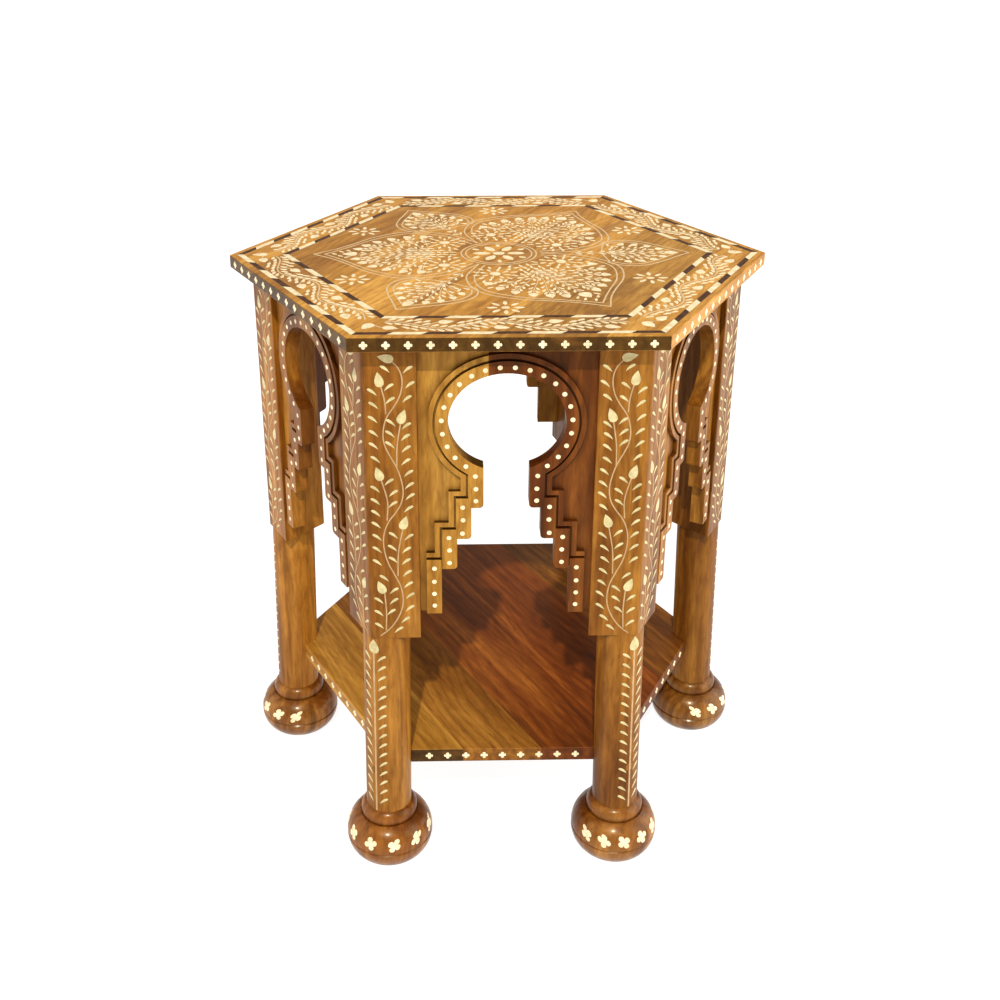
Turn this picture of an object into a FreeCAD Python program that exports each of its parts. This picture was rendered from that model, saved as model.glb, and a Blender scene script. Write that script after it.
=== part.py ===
"""Hexagonal kursi stool: a boarded top on six legs, with carved keyhole arch panels, a shelf and ball feet.

Millimetres, +Z up. The origin is on the floor under the centre of the top, and the front side faces -Y.
Each piece of wood, bone or metal becomes one STEP file in parts/, and alike small pieces share a file.
"""

import math
import os

import FreeCAD, Part

from FreeCAD import Rotation, Vector

# Whole stool
OVERALL_HEIGHT = 556.0
CORNER_COUNT = 6
SIDE_TURN = 360.0 / CORNER_COUNT
HALF_TURN = math.radians(SIDE_TURN / 2)

# Cuts run past the faces that they open by this much
OVERRUN = 5.0

# Gap left round a tenon, dowel, screw or tongue in its hole
FIT_GAP = 0.1

# Top: six glued boards that run parallel to the front right side
TOP_OVERHANG = 20.5
TOP_THICKNESS = 13.5
TOP_EDGE_ROUND = 1.5
TOP_GRAIN_TURN = SIDE_TURN
TOP_BOARD_SHARES = (0.1, 0.2, 0.2, 0.2, 0.2, 0.1)

# Check rings of bone and ebony strips let into the top
RING_EDGE_MARGIN = 6.5
RING_STRIP_WIDTH = 5.6
RING_STRIP_DEPTH = 1.5
RING_BORDER_WIDTH = 32.4
RING_BLOCK_LENGTH = 27.0
RING_BLOCK_SLANT = 5.6
RING_FIT_GAP = 0.05

# Legs: a kite block above, a round column below that leans outwards a little, and a tenon in the foot
LEG_ARRIS_RADIUS = 243.5
LEG_FACE_WIDTH = 45.5
LEG_DEPTH = 60.5
LEG_ARRIS_ROUND = 4.0
LEG_HEEL_ROUND = 6.0
LEG_EDGE_ROUND = 1.0
BLOCK_LENGTH = 287.0
COLUMN_DIAMETER = 44.0
COLUMN_LEAN = math.radians(1.4)
TENON_DIAMETER = 20.0
TENON_LENGTH = 34.0
TENON_END_GAP = 0.3

# Feet: a turned ball with a collar bead and an incised line
FOOT_HEIGHT = 57.0
FOOT_BASE_DIAMETER = 62.0
FOOT_BALL_DIAMETER = 84.0
FOOT_BALL_LEVEL = 20.0
FOOT_LINE_WIDTH = 2.4
FOOT_LINE_DEPTH = 1.1
FOOT_SHOULDER_DIAMETER = 57.0
FOOT_SHOULDER_LEVEL = 45.0
FOOT_NECK_DIAMETER = 54.0
FOOT_COLLAR_BULGE = 1.8
FOOT_COLLAR_TOP_DIAMETER = 47.0
FOOT_RIM_DROP = 1.0

# Panels: a keyhole arch over four stepped corbels each side, carved in three levels
PANEL_LENGTH = 262.0
PANEL_TONGUE = 12.0
PANEL_FIELD_RECESS = 6.0
PANEL_FIELD_THICKNESS = 9.0
PANEL_BAND_RECESS = 1.0
PANEL_RIB_RECESS = 2.0
PANEL_GROOVE_RECESS = 4.5
PANEL_EDGE_GAP = 0.3
ARCH_SHOULDER_DROP = 72.7
ARCH_JAW_DROP = 115.0
ARCH_CROWN_TURN = math.radians(27)
ARCH_BAND_WIDTH = 11.0
STEP_BAND_WIDTH = 13.3
STEP_LAP = 9.5
STEP_CORNER_ROUND = 3.5
RIB_GAP = 2.0
RIB_WIDTH = 4.5

# Shares of half the space between two legs: the arch's reach at its widest, and the place of the glue joint
ARCH_REACH_SHARE = 0.6623
PANEL_JOINT_SHARE = -0.21

# Share of half the space between two legs that each corbel step opens to, and share of the panel's length
STEP_REACH_SHARES = (0.262, 0.400, 0.564, 0.748)
STEP_DROP_SHARES = (0.588, 0.706, 0.8225, 1.0)

# Shelf: five glued boards that run parallel to the front left side, notched round the columns.
# Its edges stand back from the leg faces by the inset.
SHELF_INSET = 19.0
SHELF_THICKNESS = 15.0
SHELF_SURFACE_HEIGHT = 112.5
SHELF_EDGE_ROUND = 1.0
SHELF_GRAIN_TURN = -SIDE_TURN
SHELF_BOARD_SHARES = (0.164, 0.171, 0.187, 0.254, 0.224)

# Dowels under the top
LEG_DOWEL_DIAMETER = 8.0
LEG_DOWEL_LENGTH = 30.0
LEG_DOWEL_SPACING = 22.0
PANEL_DOWEL_DIAMETER = 5.0
PANEL_DOWEL_LENGTH = 26.0
PANEL_DOWEL_PLACE = 52.0
DOWEL_IN_TOP = 9.0

# Screws that hold the shelf to the columns, under wooden plugs
SCREW_HEAD_DIAMETER = 8.0
SCREW_HEAD_LENGTH = 3.5
SCREW_SHANK_DIAMETER = 4.5
SCREW_LENGTH = 60.0
SCREW_POINT_LENGTH = 6.0
PLUG_DIAMETER = 9.0
PLUG_LENGTH = 8.0

# Corners and sides in the order of a turn about +Z
LEG_NAMES = ("right", "back_right", "back_left", "left", "front_left", "front_right")
SIDE_NAMES = ("front", "front_right", "back_right", "back", "back_left", "front_left")

# Turns from the front side to the two sides that meet at the corner on +X
LEG_GROOVE_TURNS = (1, 2)

# Places worked out from the sizes above
TOP_UNDERSIDE = OVERALL_HEIGHT - TOP_THICKNESS
TOP_CORNER_RADIUS = LEG_ARRIS_RADIUS + TOP_OVERHANG
TOP_APOTHEM = TOP_CORNER_RADIUS * math.cos(HALF_TURN)
BLOCK_BOTTOM = TOP_UNDERSIDE - BLOCK_LENGTH
COLUMN_RADIUS = COLUMN_DIAMETER / 2
COLUMN_TOP_PLACE = LEG_ARRIS_RADIUS - COLUMN_RADIUS / math.cos(HALF_TURN)
FOOT_PLACE = COLUMN_TOP_PLACE + (BLOCK_BOTTOM - FOOT_HEIGHT) * math.tan(COLUMN_LEAN)
FACE_APOTHEM = LEG_ARRIS_RADIUS * math.cos(HALF_TURN)
HALF_SPAN = LEG_ARRIS_RADIUS * math.sin(HALF_TURN) - LEG_FACE_WIDTH
SHELF_APOTHEM = FACE_APOTHEM - SHELF_INSET
SHELF_MIDDLE = SHELF_SURFACE_HEIGHT - SHELF_THICKNESS / 2
PLUG_FACE = COLUMN_TOP_PLACE + (BLOCK_BOTTOM - SHELF_MIDDLE) * math.tan(COLUMN_LEAN) + COLUMN_RADIUS
RIB_REACH = RIB_GAP + RIB_WIDTH
Z_AXIS = Vector(0, 0, 1)


def turned(shape, degrees):
    """Returns a copy of the shape turned about the stool's upright axis."""
    return shape.copy().rotated(Vector(), Z_AXIS, degrees)


def corner_turn(point, turn):
    """Returns the point carried round by a number of corners."""
    return Rotation(Z_AXIS, turn * SIDE_TURN).multVec(point)


def moved(shape, x, y, z):
    """Returns a copy of the shape moved by x, y and z."""
    return shape.copy().translated(Vector(x, y, z))


def polygon_face(points):
    """Returns the flat face inside the closed line through the points."""
    return Part.Face(Part.makePolygon(list(points) + [points[0]]))


def rounded_face(corners):
    """Returns the flat face inside a closed outline of (point, corner radius) pairs."""
    edges = []
    count = len(corners)
    ends = []
    for i, (point, radius) in enumerate(corners):
        back = (corners[i - 1][0] - point).normalize()
        ahead = (corners[(i + 1) % count][0] - point).normalize()
        half = back.getAngle(ahead) / 2
        reach = radius / math.tan(half)
        start = point + back * reach
        end = point + ahead * reach
        bisector = (back + ahead).normalize()
        middle = point + bisector * (radius / math.sin(half) - radius)
        ends.append((start, middle, end, radius > 0))
    for i, (start, middle, end, is_round) in enumerate(ends):
        if is_round:
            edges.append(Part.Arc(start, middle, end).toShape())
        following = ends[(i + 1) % count][0]
        if end.distanceToPoint(following) > Part.Precision.confusion():
            edges.append(Part.makeLine(end, following))
    return Part.Face(Part.Wire(edges))


def hexagon(apothem, bottom, height):
    """Returns an upright hexagonal prism with a corner on +X."""
    corner = Vector(apothem / math.cos(HALF_TURN), 0, bottom)
    corners = [corner_turn(corner, turn) for turn in range(CORNER_COUNT)]
    return polygon_face(corners).extrude(Vector(0, 0, height))


def boards_of(slab, apothem, grain_turn, shares):
    """Cuts a hexagonal slab into glued boards whose widths are shares of its width across flats.

    The boards run along X before they are turned by grain_turn, and the first is the lowest in Y.
    """
    box = slab.BoundBox
    start = -apothem
    boards = []
    for i, share in enumerate(shares):
        width = 2 * apothem * share
        low = start - OVERRUN if i == 0 else start
        high = start + width + OVERRUN if i == len(shares) - 1 else start + width
        strip = Part.makeBox(2 * box.DiagonalLength, high - low, box.ZLength + 2 * OVERRUN)
        strip = moved(strip, -box.DiagonalLength, low, box.ZMin - OVERRUN)
        boards.append(slab.common(turned(strip, grain_turn)))
        start += width
    return boards


# Top


def ring_apothems():
    """Returns the outer apothem of the outer ring and of the inner ring."""
    outer = TOP_APOTHEM - RING_EDGE_MARGIN
    return outer, outer - RING_STRIP_WIDTH - RING_BORDER_WIDTH


def ring_groove(outer_apothem):
    """Returns the solid that cuts a ring's groove out of the top."""
    bottom = OVERALL_HEIGHT - RING_STRIP_DEPTH
    height = RING_STRIP_DEPTH + OVERRUN
    outer = hexagon(outer_apothem, bottom, height)
    return outer.cut(hexagon(outer_apothem - RING_STRIP_WIDTH, bottom, height))


def ring_blocks(outer_apothem, first_is_bone, sides_alternate):
    """Returns the bone blocks and the ebony blocks of one ring.

    The blocks along a side share its length evenly. Their ends slant, and mitre at the corners.
    """
    outer = outer_apothem - RING_FIT_GAP
    inner = outer_apothem - RING_STRIP_WIDTH + RING_FIT_GAP
    outer_half = outer * math.tan(HALF_TURN)
    inner_half = inner * math.tan(HALF_TURN)
    count = round(2 * outer_half / RING_BLOCK_LENGTH)
    bottom = OVERALL_HEIGHT - RING_STRIP_DEPTH
    groups = ([], [])
    for side in range(CORNER_COUNT):
        for i in range(count):
            left = -outer_half + i * 2 * outer_half / count
            right = -outer_half + (i + 1) * 2 * outer_half / count
            inner_left = -inner_half if i == 0 else left + RING_BLOCK_SLANT
            inner_right = inner_half if i == count - 1 else right + RING_BLOCK_SLANT
            corners = [
                Vector(left + RING_FIT_GAP, -outer, bottom),
                Vector(right - RING_FIT_GAP, -outer, bottom),
                Vector(inner_right - RING_FIT_GAP, -inner, bottom),
                Vector(inner_left + RING_FIT_GAP, -inner, bottom),
            ]
            block = polygon_face(corners).extrude(Vector(0, 0, RING_STRIP_DEPTH))
            order = i + side * count if sides_alternate else i
            is_bone = (order % 2 == 0) == first_is_bone
            groups[0 if is_bone else 1].append(turned(block, side * SIDE_TURN))
    return groups


def top_boards():
    """Returns the top's boards, with the ring grooves and the dowel holes."""
    slab = hexagon(TOP_APOTHEM, TOP_UNDERSIDE, TOP_THICKNESS)
    rims = [edge for edge in slab.Edges if edge.BoundBox.ZLength < FIT_GAP]
    slab = slab.makeFillet(TOP_EDGE_ROUND, rims)
    grooves = [ring_groove(apothem) for apothem in ring_apothems()]
    slab = slab.cut(grooves + dowel_holes())
    return boards_of(slab, TOP_APOTHEM, TOP_GRAIN_TURN, TOP_BOARD_SHARES)


# Dowels


def dowel_places():
    """Returns the axis point, diameter and length of every dowel that joins the top to what is under it."""
    places = []
    for turn in range(CORNER_COUNT):
        for reach in (-LEG_DOWEL_SPACING / 2, LEG_DOWEL_SPACING / 2):
            point = corner_turn(Vector(COLUMN_TOP_PLACE + reach, 0, 0), turn)
            places.append((point, LEG_DOWEL_DIAMETER, LEG_DOWEL_LENGTH))
        middle = -FACE_APOTHEM + PANEL_FIELD_RECESS + PANEL_FIELD_THICKNESS / 2
        for place in (-PANEL_DOWEL_PLACE, PANEL_DOWEL_PLACE):
            point = corner_turn(Vector(place, middle, 0), turn)
            places.append((point, PANEL_DOWEL_DIAMETER, PANEL_DOWEL_LENGTH))
    return places


def dowel(point, diameter, length, gap):
    """Returns one upright dowel that reaches into the top, grown by a gap all round."""
    bottom = TOP_UNDERSIDE + DOWEL_IN_TOP - length - gap
    blank = Part.makeCylinder(diameter / 2 + gap, length + 2 * gap)
    return moved(blank, point.x, point.y, bottom)


def dowel_holes():
    """Returns the solids that cut the holes of all dowels."""
    return [dowel(point, diameter, length, FIT_GAP) for point, diameter, length in dowel_places()]


# Screws and plugs of the shelf


def lying_cylinder(diameter, length, outer_end):
    """Returns a cylinder that lies along X, inwards from outer_end, at the shelf's level."""
    start = Vector(outer_end - length, 0, SHELF_MIDDLE)
    return Part.makeCylinder(diameter / 2, length, start, Vector(1, 0, 0))


def screw(gap):
    """Returns the countersunk screw of the corner on +X, grown by a gap all round."""
    head_end = PLUG_FACE - PLUG_LENGTH
    shank = SCREW_SHANK_DIAMETER / 2 + gap
    head = SCREW_HEAD_DIAMETER / 2 + gap
    inward = Vector(-1, 0, 0)
    cone = Part.makeCone(head, shank, SCREW_HEAD_LENGTH, Vector(head_end, 0, SHELF_MIDDLE), inward)
    straight = SCREW_LENGTH - SCREW_HEAD_LENGTH - SCREW_POINT_LENGTH
    body = lying_cylinder(2 * shank, straight, head_end - SCREW_HEAD_LENGTH)
    point_start = Vector(head_end - SCREW_LENGTH + SCREW_POINT_LENGTH, 0, SHELF_MIDDLE)
    point = Part.makeCone(shank, gap, SCREW_POINT_LENGTH + gap, point_start, inward)
    return cone.fuse([body, point])


def plug():
    """Returns the plug of the corner on +X, trimmed to the column's round."""
    blank = lying_cylinder(PLUG_DIAMETER, PLUG_LENGTH + OVERRUN, PLUG_FACE + OVERRUN)
    return blank.common(column(COLUMN_DIAMETER))


# Legs


def column(diameter):
    """Returns the round column of the corner on +X, which leans outwards from the block down to the foot."""
    axis = Vector(-math.sin(COLUMN_LEAN), 0, math.cos(COLUMN_LEAN))
    top = Vector(COLUMN_TOP_PLACE, 0, BLOCK_BOTTOM)
    height = BLOCK_BOTTOM - FOOT_HEIGHT
    start = top - axis * (height / math.cos(COLUMN_LEAN) + OVERRUN)
    shaft = Part.makeCylinder(diameter / 2, start.distanceToPoint(top) + OVERRUN, start, axis)
    span = 2 * (COLUMN_TOP_PLACE + diameter)
    return shaft.common(moved(Part.makeBox(span, span, height), -span / 2, -span / 2, FOOT_HEIGHT))


def leg():
    """Returns the leg of the corner on +X: block, column and tenon, with its grooves and holes."""
    face_corner = LEG_ARRIS_RADIUS - LEG_FACE_WIDTH * math.sin(HALF_TURN)
    face_reach = LEG_FACE_WIDTH * math.cos(HALF_TURN)
    outline = [
        (Vector(LEG_ARRIS_RADIUS, 0, BLOCK_BOTTOM), LEG_ARRIS_ROUND),
        (Vector(face_corner, face_reach, BLOCK_BOTTOM), LEG_EDGE_ROUND),
        (Vector(LEG_ARRIS_RADIUS - LEG_DEPTH, 0, BLOCK_BOTTOM), LEG_HEEL_ROUND),
        (Vector(face_corner, -face_reach, BLOCK_BOTTOM), LEG_EDGE_ROUND),
    ]
    block = rounded_face(outline).extrude(Vector(0, 0, BLOCK_LENGTH))
    tenon = Part.makeCylinder(TENON_DIAMETER / 2, TENON_LENGTH)
    tenon = moved(tenon, FOOT_PLACE, 0, FOOT_HEIGHT - TENON_LENGTH)
    shaft = block.fuse([column(COLUMN_DIAMETER), tenon])
    grooves = [turned(panel_groove(), turn * SIDE_TURN) for turn in LEG_GROOVE_TURNS]
    plug_hole = lying_cylinder(PLUG_DIAMETER + 2 * FIT_GAP, PLUG_LENGTH + OVERRUN, PLUG_FACE + OVERRUN)
    cuts = grooves + dowel_holes() + [screw(FIT_GAP), plug_hole]
    return shaft.cut(cuts).removeSplitter()


# Feet


def foot():
    """Returns the turned foot of the corner on +X, with the bore for the leg's tenon."""
    ball = FOOT_BALL_DIAMETER / 2
    base = FOOT_BASE_DIAMETER / 2
    shoulder = FOOT_SHOULDER_DIAMETER / 2
    neck = FOOT_NECK_DIAMETER / 2
    collar = FOOT_COLLAR_TOP_DIAMETER / 2
    bore = TENON_DIAMETER / 2 + FIT_GAP
    bore_floor = FOOT_HEIGHT - TENON_LENGTH - TENON_END_GAP
    line_top = FOOT_BALL_LEVEL + FOOT_LINE_WIDTH
    collar_top = FOOT_HEIGHT - FOOT_RIM_DROP
    profile = [
        Part.makeLine(Vector(0, 0, 0), Vector(base, 0, 0)),
        ball_arc(base, 0, ball, FOOT_BALL_LEVEL),
        Part.makePolygon([
            Vector(ball, 0, FOOT_BALL_LEVEL),
            Vector(ball - FOOT_LINE_DEPTH, 0, FOOT_BALL_LEVEL + FOOT_LINE_WIDTH / 2),
            Vector(ball, 0, line_top),
        ]),
        ball_arc(shoulder, FOOT_SHOULDER_LEVEL, ball, line_top),
        Part.makeLine(Vector(shoulder, 0, FOOT_SHOULDER_LEVEL), Vector(neck, 0, FOOT_SHOULDER_LEVEL)),
        bulged_arc(neck, FOOT_SHOULDER_LEVEL, collar, collar_top, FOOT_COLLAR_BULGE),
        Part.makePolygon([
            Vector(collar, 0, collar_top),
            Vector(COLUMN_RADIUS, 0, FOOT_HEIGHT),
            Vector(bore, 0, FOOT_HEIGHT),
            Vector(bore, 0, bore_floor),
            Vector(0, 0, bore_floor),
            Vector(0, 0, 0),
        ]),
    ]
    edges = [edge for piece in profile for edge in piece.Edges]
    face = Part.Face(Part.Wire(edges))
    return moved(face.revolve(Vector(), Z_AXIS, 360), FOOT_PLACE, 0, 0)


def bulged_arc(start_radius, start_level, end_radius, end_level, bulge):
    """Returns an arc of a turned profile, upwards between two points, that swells outwards by bulge."""
    start = Vector(start_radius, 0, start_level)
    end = Vector(end_radius, 0, end_level)
    chord = end - start
    outward = Vector(chord.z, 0, -chord.x).normalize()
    return Part.Arc(start, (start + end) / 2 + outward * bulge, end).toShape()


def ball_arc(radius, level, widest_radius, widest_level):
    """Returns an arc of a turned profile that ends upright at its widest point."""
    start = Vector(radius, 0, level)
    end = Vector(widest_radius, 0, widest_level)
    chord = end - start
    curve = chord.dot(chord) / (2 * chord.x)
    centre = end - Vector(curve, 0, 0)
    middle = centre + ((start + end) / 2 - centre).normalize() * curve
    return Part.Arc(start, middle, end).toShape()


# Panels


def panel_slab(half_width, top, bottom, near, far):
    """Returns a box in the front side's place, between two levels and two recesses behind the leg faces."""
    slab = Part.makeBox(2 * half_width, far - near, top - bottom)
    return moved(slab, -half_width, -FACE_APOTHEM + near, bottom)


def panel_groove():
    """Returns the solid that cuts a side's two panel grooves out of the legs beside it."""
    far = PANEL_FIELD_RECESS + PANEL_FIELD_THICKNESS + FIT_GAP
    half = HALF_SPAN + PANEL_TONGUE + FIT_GAP
    bottom = TOP_UNDERSIDE - PANEL_LENGTH - FIT_GAP
    return panel_slab(half, TOP_UNDERSIDE + OVERRUN, bottom, PANEL_FIELD_RECESS - FIT_GAP, far)


def arch_face():
    """Returns the keyhole arch above its jaws, on the plane of the front leg faces.

    A side arc stands upright at the shoulder and ends at the jaw. The crown's flatter arc runs on from both.
    """
    half = HALF_SPAN * ARCH_REACH_SHARE
    jaw = HALF_SPAN * STEP_REACH_SHARES[0]
    fall = ARCH_JAW_DROP - ARCH_SHOULDER_DROP
    side_radius = ((half - jaw) ** 2 + fall**2) / (2 * (half - jaw))
    side_centre = half - side_radius
    crown_radius = side_radius + side_centre / math.sin(ARCH_CROWN_TURN)
    crown_rise = crown_radius - side_centre / math.tan(ARCH_CROWN_TURN)
    turn_across = side_centre + side_radius * math.sin(ARCH_CROWN_TURN)
    turn_rise = side_radius * math.cos(ARCH_CROWN_TURN)
    shoulder = Vector(0, -FACE_APOTHEM, TOP_UNDERSIDE - ARCH_SHOULDER_DROP)
    right = [
        shoulder + Vector(jaw, 0, -fall),
        shoulder + Vector(half, 0, 0),
        shoulder + Vector(turn_across, 0, turn_rise),
    ]
    left = [Vector(-point.x, point.y, point.z) for point in right]
    crown = shoulder + Vector(0, 0, crown_rise)
    edges = [
        Part.Arc(right[0], right[1], right[2]).toShape(),
        Part.Arc(right[2], crown, left[2]).toShape(),
        Part.Arc(left[2], left[1], left[0]).toShape(),
        Part.makeLine(left[0], right[0]),
    ]
    return Part.Face(Part.Wire(edges))


def step_places():
    """Returns (reach from the middle, top level, bottom level) of each corbel strip, from the jaw down."""
    places = []
    top = TOP_UNDERSIDE - ARCH_JAW_DROP
    for reach_share, drop_share in zip(STEP_REACH_SHARES, STEP_DROP_SHARES):
        bottom = TOP_UNDERSIDE - PANEL_LENGTH * drop_share
        places.append((HALF_SPAN * reach_share, top, bottom))
        top = bottom + STEP_LAP
    return places


def opening():
    """Returns the solid that cuts the arch and the space between the corbels out of the front panel."""
    y = -FACE_APOTHEM
    places = step_places()
    right = [(Vector(places[0][0], y, places[0][1] + OVERRUN), 0)]
    for i, (reach, _, bottom) in enumerate(places):
        is_last = i == len(places) - 1
        level = bottom - OVERRUN if is_last else bottom
        right.append((Vector(reach, y, level), 0 if is_last else STEP_CORNER_ROUND))
        if not is_last:
            right.append((Vector(places[i + 1][0], y, level), 0))
    left = [(Vector(-point.x, y, point.z), radius) for point, radius in reversed(right)]
    depth = Vector(0, PANEL_FIELD_RECESS + PANEL_FIELD_THICKNESS + OVERRUN, 0)
    steps = rounded_face(right + left).extrude(depth)
    return arch_face().extrude(depth).fuse(steps)


def carved_zone(grow, near, far):
    """Returns the zone that follows the arch and the corbels, grown outwards, between two recesses.

    The last strip stands close to the leg, so it grows only upwards.
    """
    rim = arch_face().makeOffset2D(ARCH_BAND_WIDTH + grow)
    zone = [moved(rim.extrude(Vector(0, far - near, 0)), 0, near, 0)]
    places = step_places()
    for reach, top, bottom in places:
        is_last = reach == places[-1][0]
        width = STEP_BAND_WIDTH if is_last else STEP_BAND_WIDTH + grow
        strip = Part.makeBox(width, far - near, top + grow - bottom)
        right = moved(strip, reach, -FACE_APOTHEM + near, bottom)
        zone += [right, right.mirror(Vector(), Vector(1, 0, 0))]
    limit = panel_slab(HALF_SPAN - PANEL_EDGE_GAP, TOP_UNDERSIDE, BLOCK_BOTTOM, near, far)
    return zone[0].fuse(zone[1:]).common(limit)


def carved_panel():
    """Returns the front panel in one piece: field, rib, groove and dotted band, each at its own level."""
    back = PANEL_FIELD_RECESS + PANEL_FIELD_THICKNESS
    bottom = TOP_UNDERSIDE - PANEL_LENGTH
    field = panel_slab(HALF_SPAN + PANEL_TONGUE, TOP_UNDERSIDE, bottom, PANEL_FIELD_RECESS, back)
    rib = carved_zone(RIB_REACH, PANEL_RIB_RECESS, PANEL_FIELD_RECESS)
    groove = carved_zone(RIB_GAP, PANEL_RIB_RECESS, PANEL_GROOVE_RECESS)
    band = carved_zone(0, PANEL_BAND_RECESS, PANEL_FIELD_RECESS)
    panel = field.fuse([rib.cut(groove), band]).cut([opening()] + dowel_holes())
    return panel.removeSplitter()


def panel_boards():
    """Returns the left and right boards that the front panel is glued from."""
    panel = carved_panel()
    box = panel.BoundBox
    left_width = HALF_SPAN * PANEL_JOINT_SHARE - box.XMin + OVERRUN
    left = Part.makeBox(left_width, box.YLength + 2 * OVERRUN, box.ZLength + 2 * OVERRUN)
    left = moved(left, box.XMin - OVERRUN, box.YMin - OVERRUN, box.ZMin - OVERRUN)
    return panel.common(left), panel.cut(left)


# Shelf


def shelf_boards():
    """Returns the shelf's boards, notched round the columns and bored for the screws."""
    bottom = SHELF_SURFACE_HEIGHT - SHELF_THICKNESS
    slab = hexagon(SHELF_APOTHEM, bottom, SHELF_THICKNESS)
    rims = [edge for edge in slab.Edges if edge.BoundBox.ZLength < FIT_GAP]
    slab = slab.makeFillet(SHELF_EDGE_ROUND, rims)
    cuts = []
    for turn in range(CORNER_COUNT):
        cuts.append(turned(column(COLUMN_DIAMETER + 2 * FIT_GAP), turn * SIDE_TURN))
        cuts.append(turned(screw(FIT_GAP), turn * SIDE_TURN))
    return boards_of(slab.cut(cuts), SHELF_APOTHEM, SHELF_GRAIN_TURN, SHELF_BOARD_SHARES)


def solids_of(shape):
    """Returns a compound of the shape's solids, or the solid itself where there is one."""
    return shape.Solids[0] if len(shape.Solids) == 1 else Part.makeCompound(shape.Solids)


def main():
    """Builds every piece and writes one STEP file for each node."""
    os.makedirs("parts", exist_ok=True)
    nodes = {}
    for i, board in enumerate(top_boards()):
        nodes[f"top_board_{i + 1}"] = board
    outer_apothem, inner_apothem = ring_apothems()
    bone, ebony = ring_blocks(outer_apothem, first_is_bone=False, sides_alternate=True)
    nodes["outer_ring_bone_strips"] = Part.makeCompound(bone)
    nodes["outer_ring_ebony_strips"] = Part.makeCompound(ebony)
    bone, ebony = ring_blocks(inner_apothem, first_is_bone=True, sides_alternate=False)
    nodes["inner_ring_bone_strips"] = Part.makeCompound(bone)
    nodes["inner_ring_ebony_strips"] = Part.makeCompound(ebony)

    one_leg = leg()
    one_foot = foot()
    for turn, name in enumerate(LEG_NAMES):
        nodes[f"{name}_leg"] = turned(one_leg, turn * SIDE_TURN)
        nodes[f"{name}_foot"] = turned(one_foot, turn * SIDE_TURN)

    left_board, right_board = panel_boards()
    for turn, name in enumerate(SIDE_NAMES):
        nodes[f"{name}_panel_left_board"] = turned(left_board, turn * SIDE_TURN)
        nodes[f"{name}_panel_right_board"] = turned(right_board, turn * SIDE_TURN)

    for i, board in enumerate(shelf_boards()):
        nodes[f"shelf_board_{i + 1}"] = board

    dowels = {LEG_DOWEL_DIAMETER: [], PANEL_DOWEL_DIAMETER: []}
    for point, diameter, length in dowel_places():
        dowels[diameter].append(dowel(point, diameter, length, 0))
    nodes["leg_dowels"] = Part.makeCompound(dowels[LEG_DOWEL_DIAMETER])
    nodes["panel_dowels"] = Part.makeCompound(dowels[PANEL_DOWEL_DIAMETER])
    turns = [turn * SIDE_TURN for turn in range(CORNER_COUNT)]
    nodes["shelf_screws"] = Part.makeCompound([turned(screw(0), turn) for turn in turns])
    nodes["screw_plugs"] = Part.makeCompound([turned(plug(), turn) for turn in turns])

    for name, shape in nodes.items():
        solids_of(shape).exportStep(f"parts/{name}.step")
        print(name, len(shape.Solids), "solids", round(shape.Volume), "mm3", shape.isValid())


if __name__ == "__main__":
    main()
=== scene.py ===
"""Dresses the hexagonal kursi stool: oiled hardwood, the bone and ebony inlay, a plain studio and the camera.

The frame holds every piece of wood, the check rings and the fixings. The fine bone inlay is made here: the
vines on the leg faces, the sprigs down the columns, the dots on the carved panels, the quatrefoils along the
edges and round the feet, and the lobed pattern on the top. Each chip of bone is a thin plate let into the
face that carries it.
"""

from __future__ import annotations

import logging
import math
import random
from dataclasses import dataclass
from enum import Enum
from typing import Callable, Iterable, Sequence

import bmesh
import bpy
from mathutils import Matrix, Vector

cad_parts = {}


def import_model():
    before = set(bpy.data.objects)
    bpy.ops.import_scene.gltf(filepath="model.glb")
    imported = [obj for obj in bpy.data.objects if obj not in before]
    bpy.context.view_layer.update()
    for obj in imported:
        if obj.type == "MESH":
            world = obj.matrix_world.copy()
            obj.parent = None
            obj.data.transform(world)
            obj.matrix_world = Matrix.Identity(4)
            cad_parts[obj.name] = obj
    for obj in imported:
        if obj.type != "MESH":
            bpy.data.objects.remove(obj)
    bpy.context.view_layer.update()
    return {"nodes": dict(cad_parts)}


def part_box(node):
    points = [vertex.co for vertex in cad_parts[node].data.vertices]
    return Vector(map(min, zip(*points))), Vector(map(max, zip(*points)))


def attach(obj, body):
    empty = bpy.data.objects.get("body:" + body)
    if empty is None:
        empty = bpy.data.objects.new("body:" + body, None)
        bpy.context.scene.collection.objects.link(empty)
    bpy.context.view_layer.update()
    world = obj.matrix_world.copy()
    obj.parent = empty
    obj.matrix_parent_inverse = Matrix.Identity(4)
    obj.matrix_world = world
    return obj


LOG = logging.getLogger("kursi_stool")

Colour = tuple[float, float, float]
Pair = tuple[float, float]
Places = tuple[Pair, ...]
Socket = bpy.types.NodeSocket
Stops = Sequence[tuple[float, Sequence[float]]]

MM = 0.001
BODY = "root"
UPRIGHT = Vector((0, 0, 1))
WHITE = (1.0, 1.0, 1.0)
SIDE_TURN = math.radians(60)
SIDES = {"front": 270, "front_right": 330, "back_right": 30, "back": 90, "back_left": 150, "front_left": 210}
LEGS = {"right": 0, "back_right": 60, "back_left": 120, "left": 180, "front_left": 240, "front_right": 300}


def heading(degrees: float) -> Vector:
    """Returns the level unit vector at an angle in degrees from +X towards +Y."""
    angle = math.radians(degrees)
    return Vector((math.cos(angle), math.sin(angle), 0.0))


def spoke(angle: float) -> Vector:
    """Returns the unit vector of a flat drawing at an angle in radians."""
    return Vector((math.cos(angle), math.sin(angle)))


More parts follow.
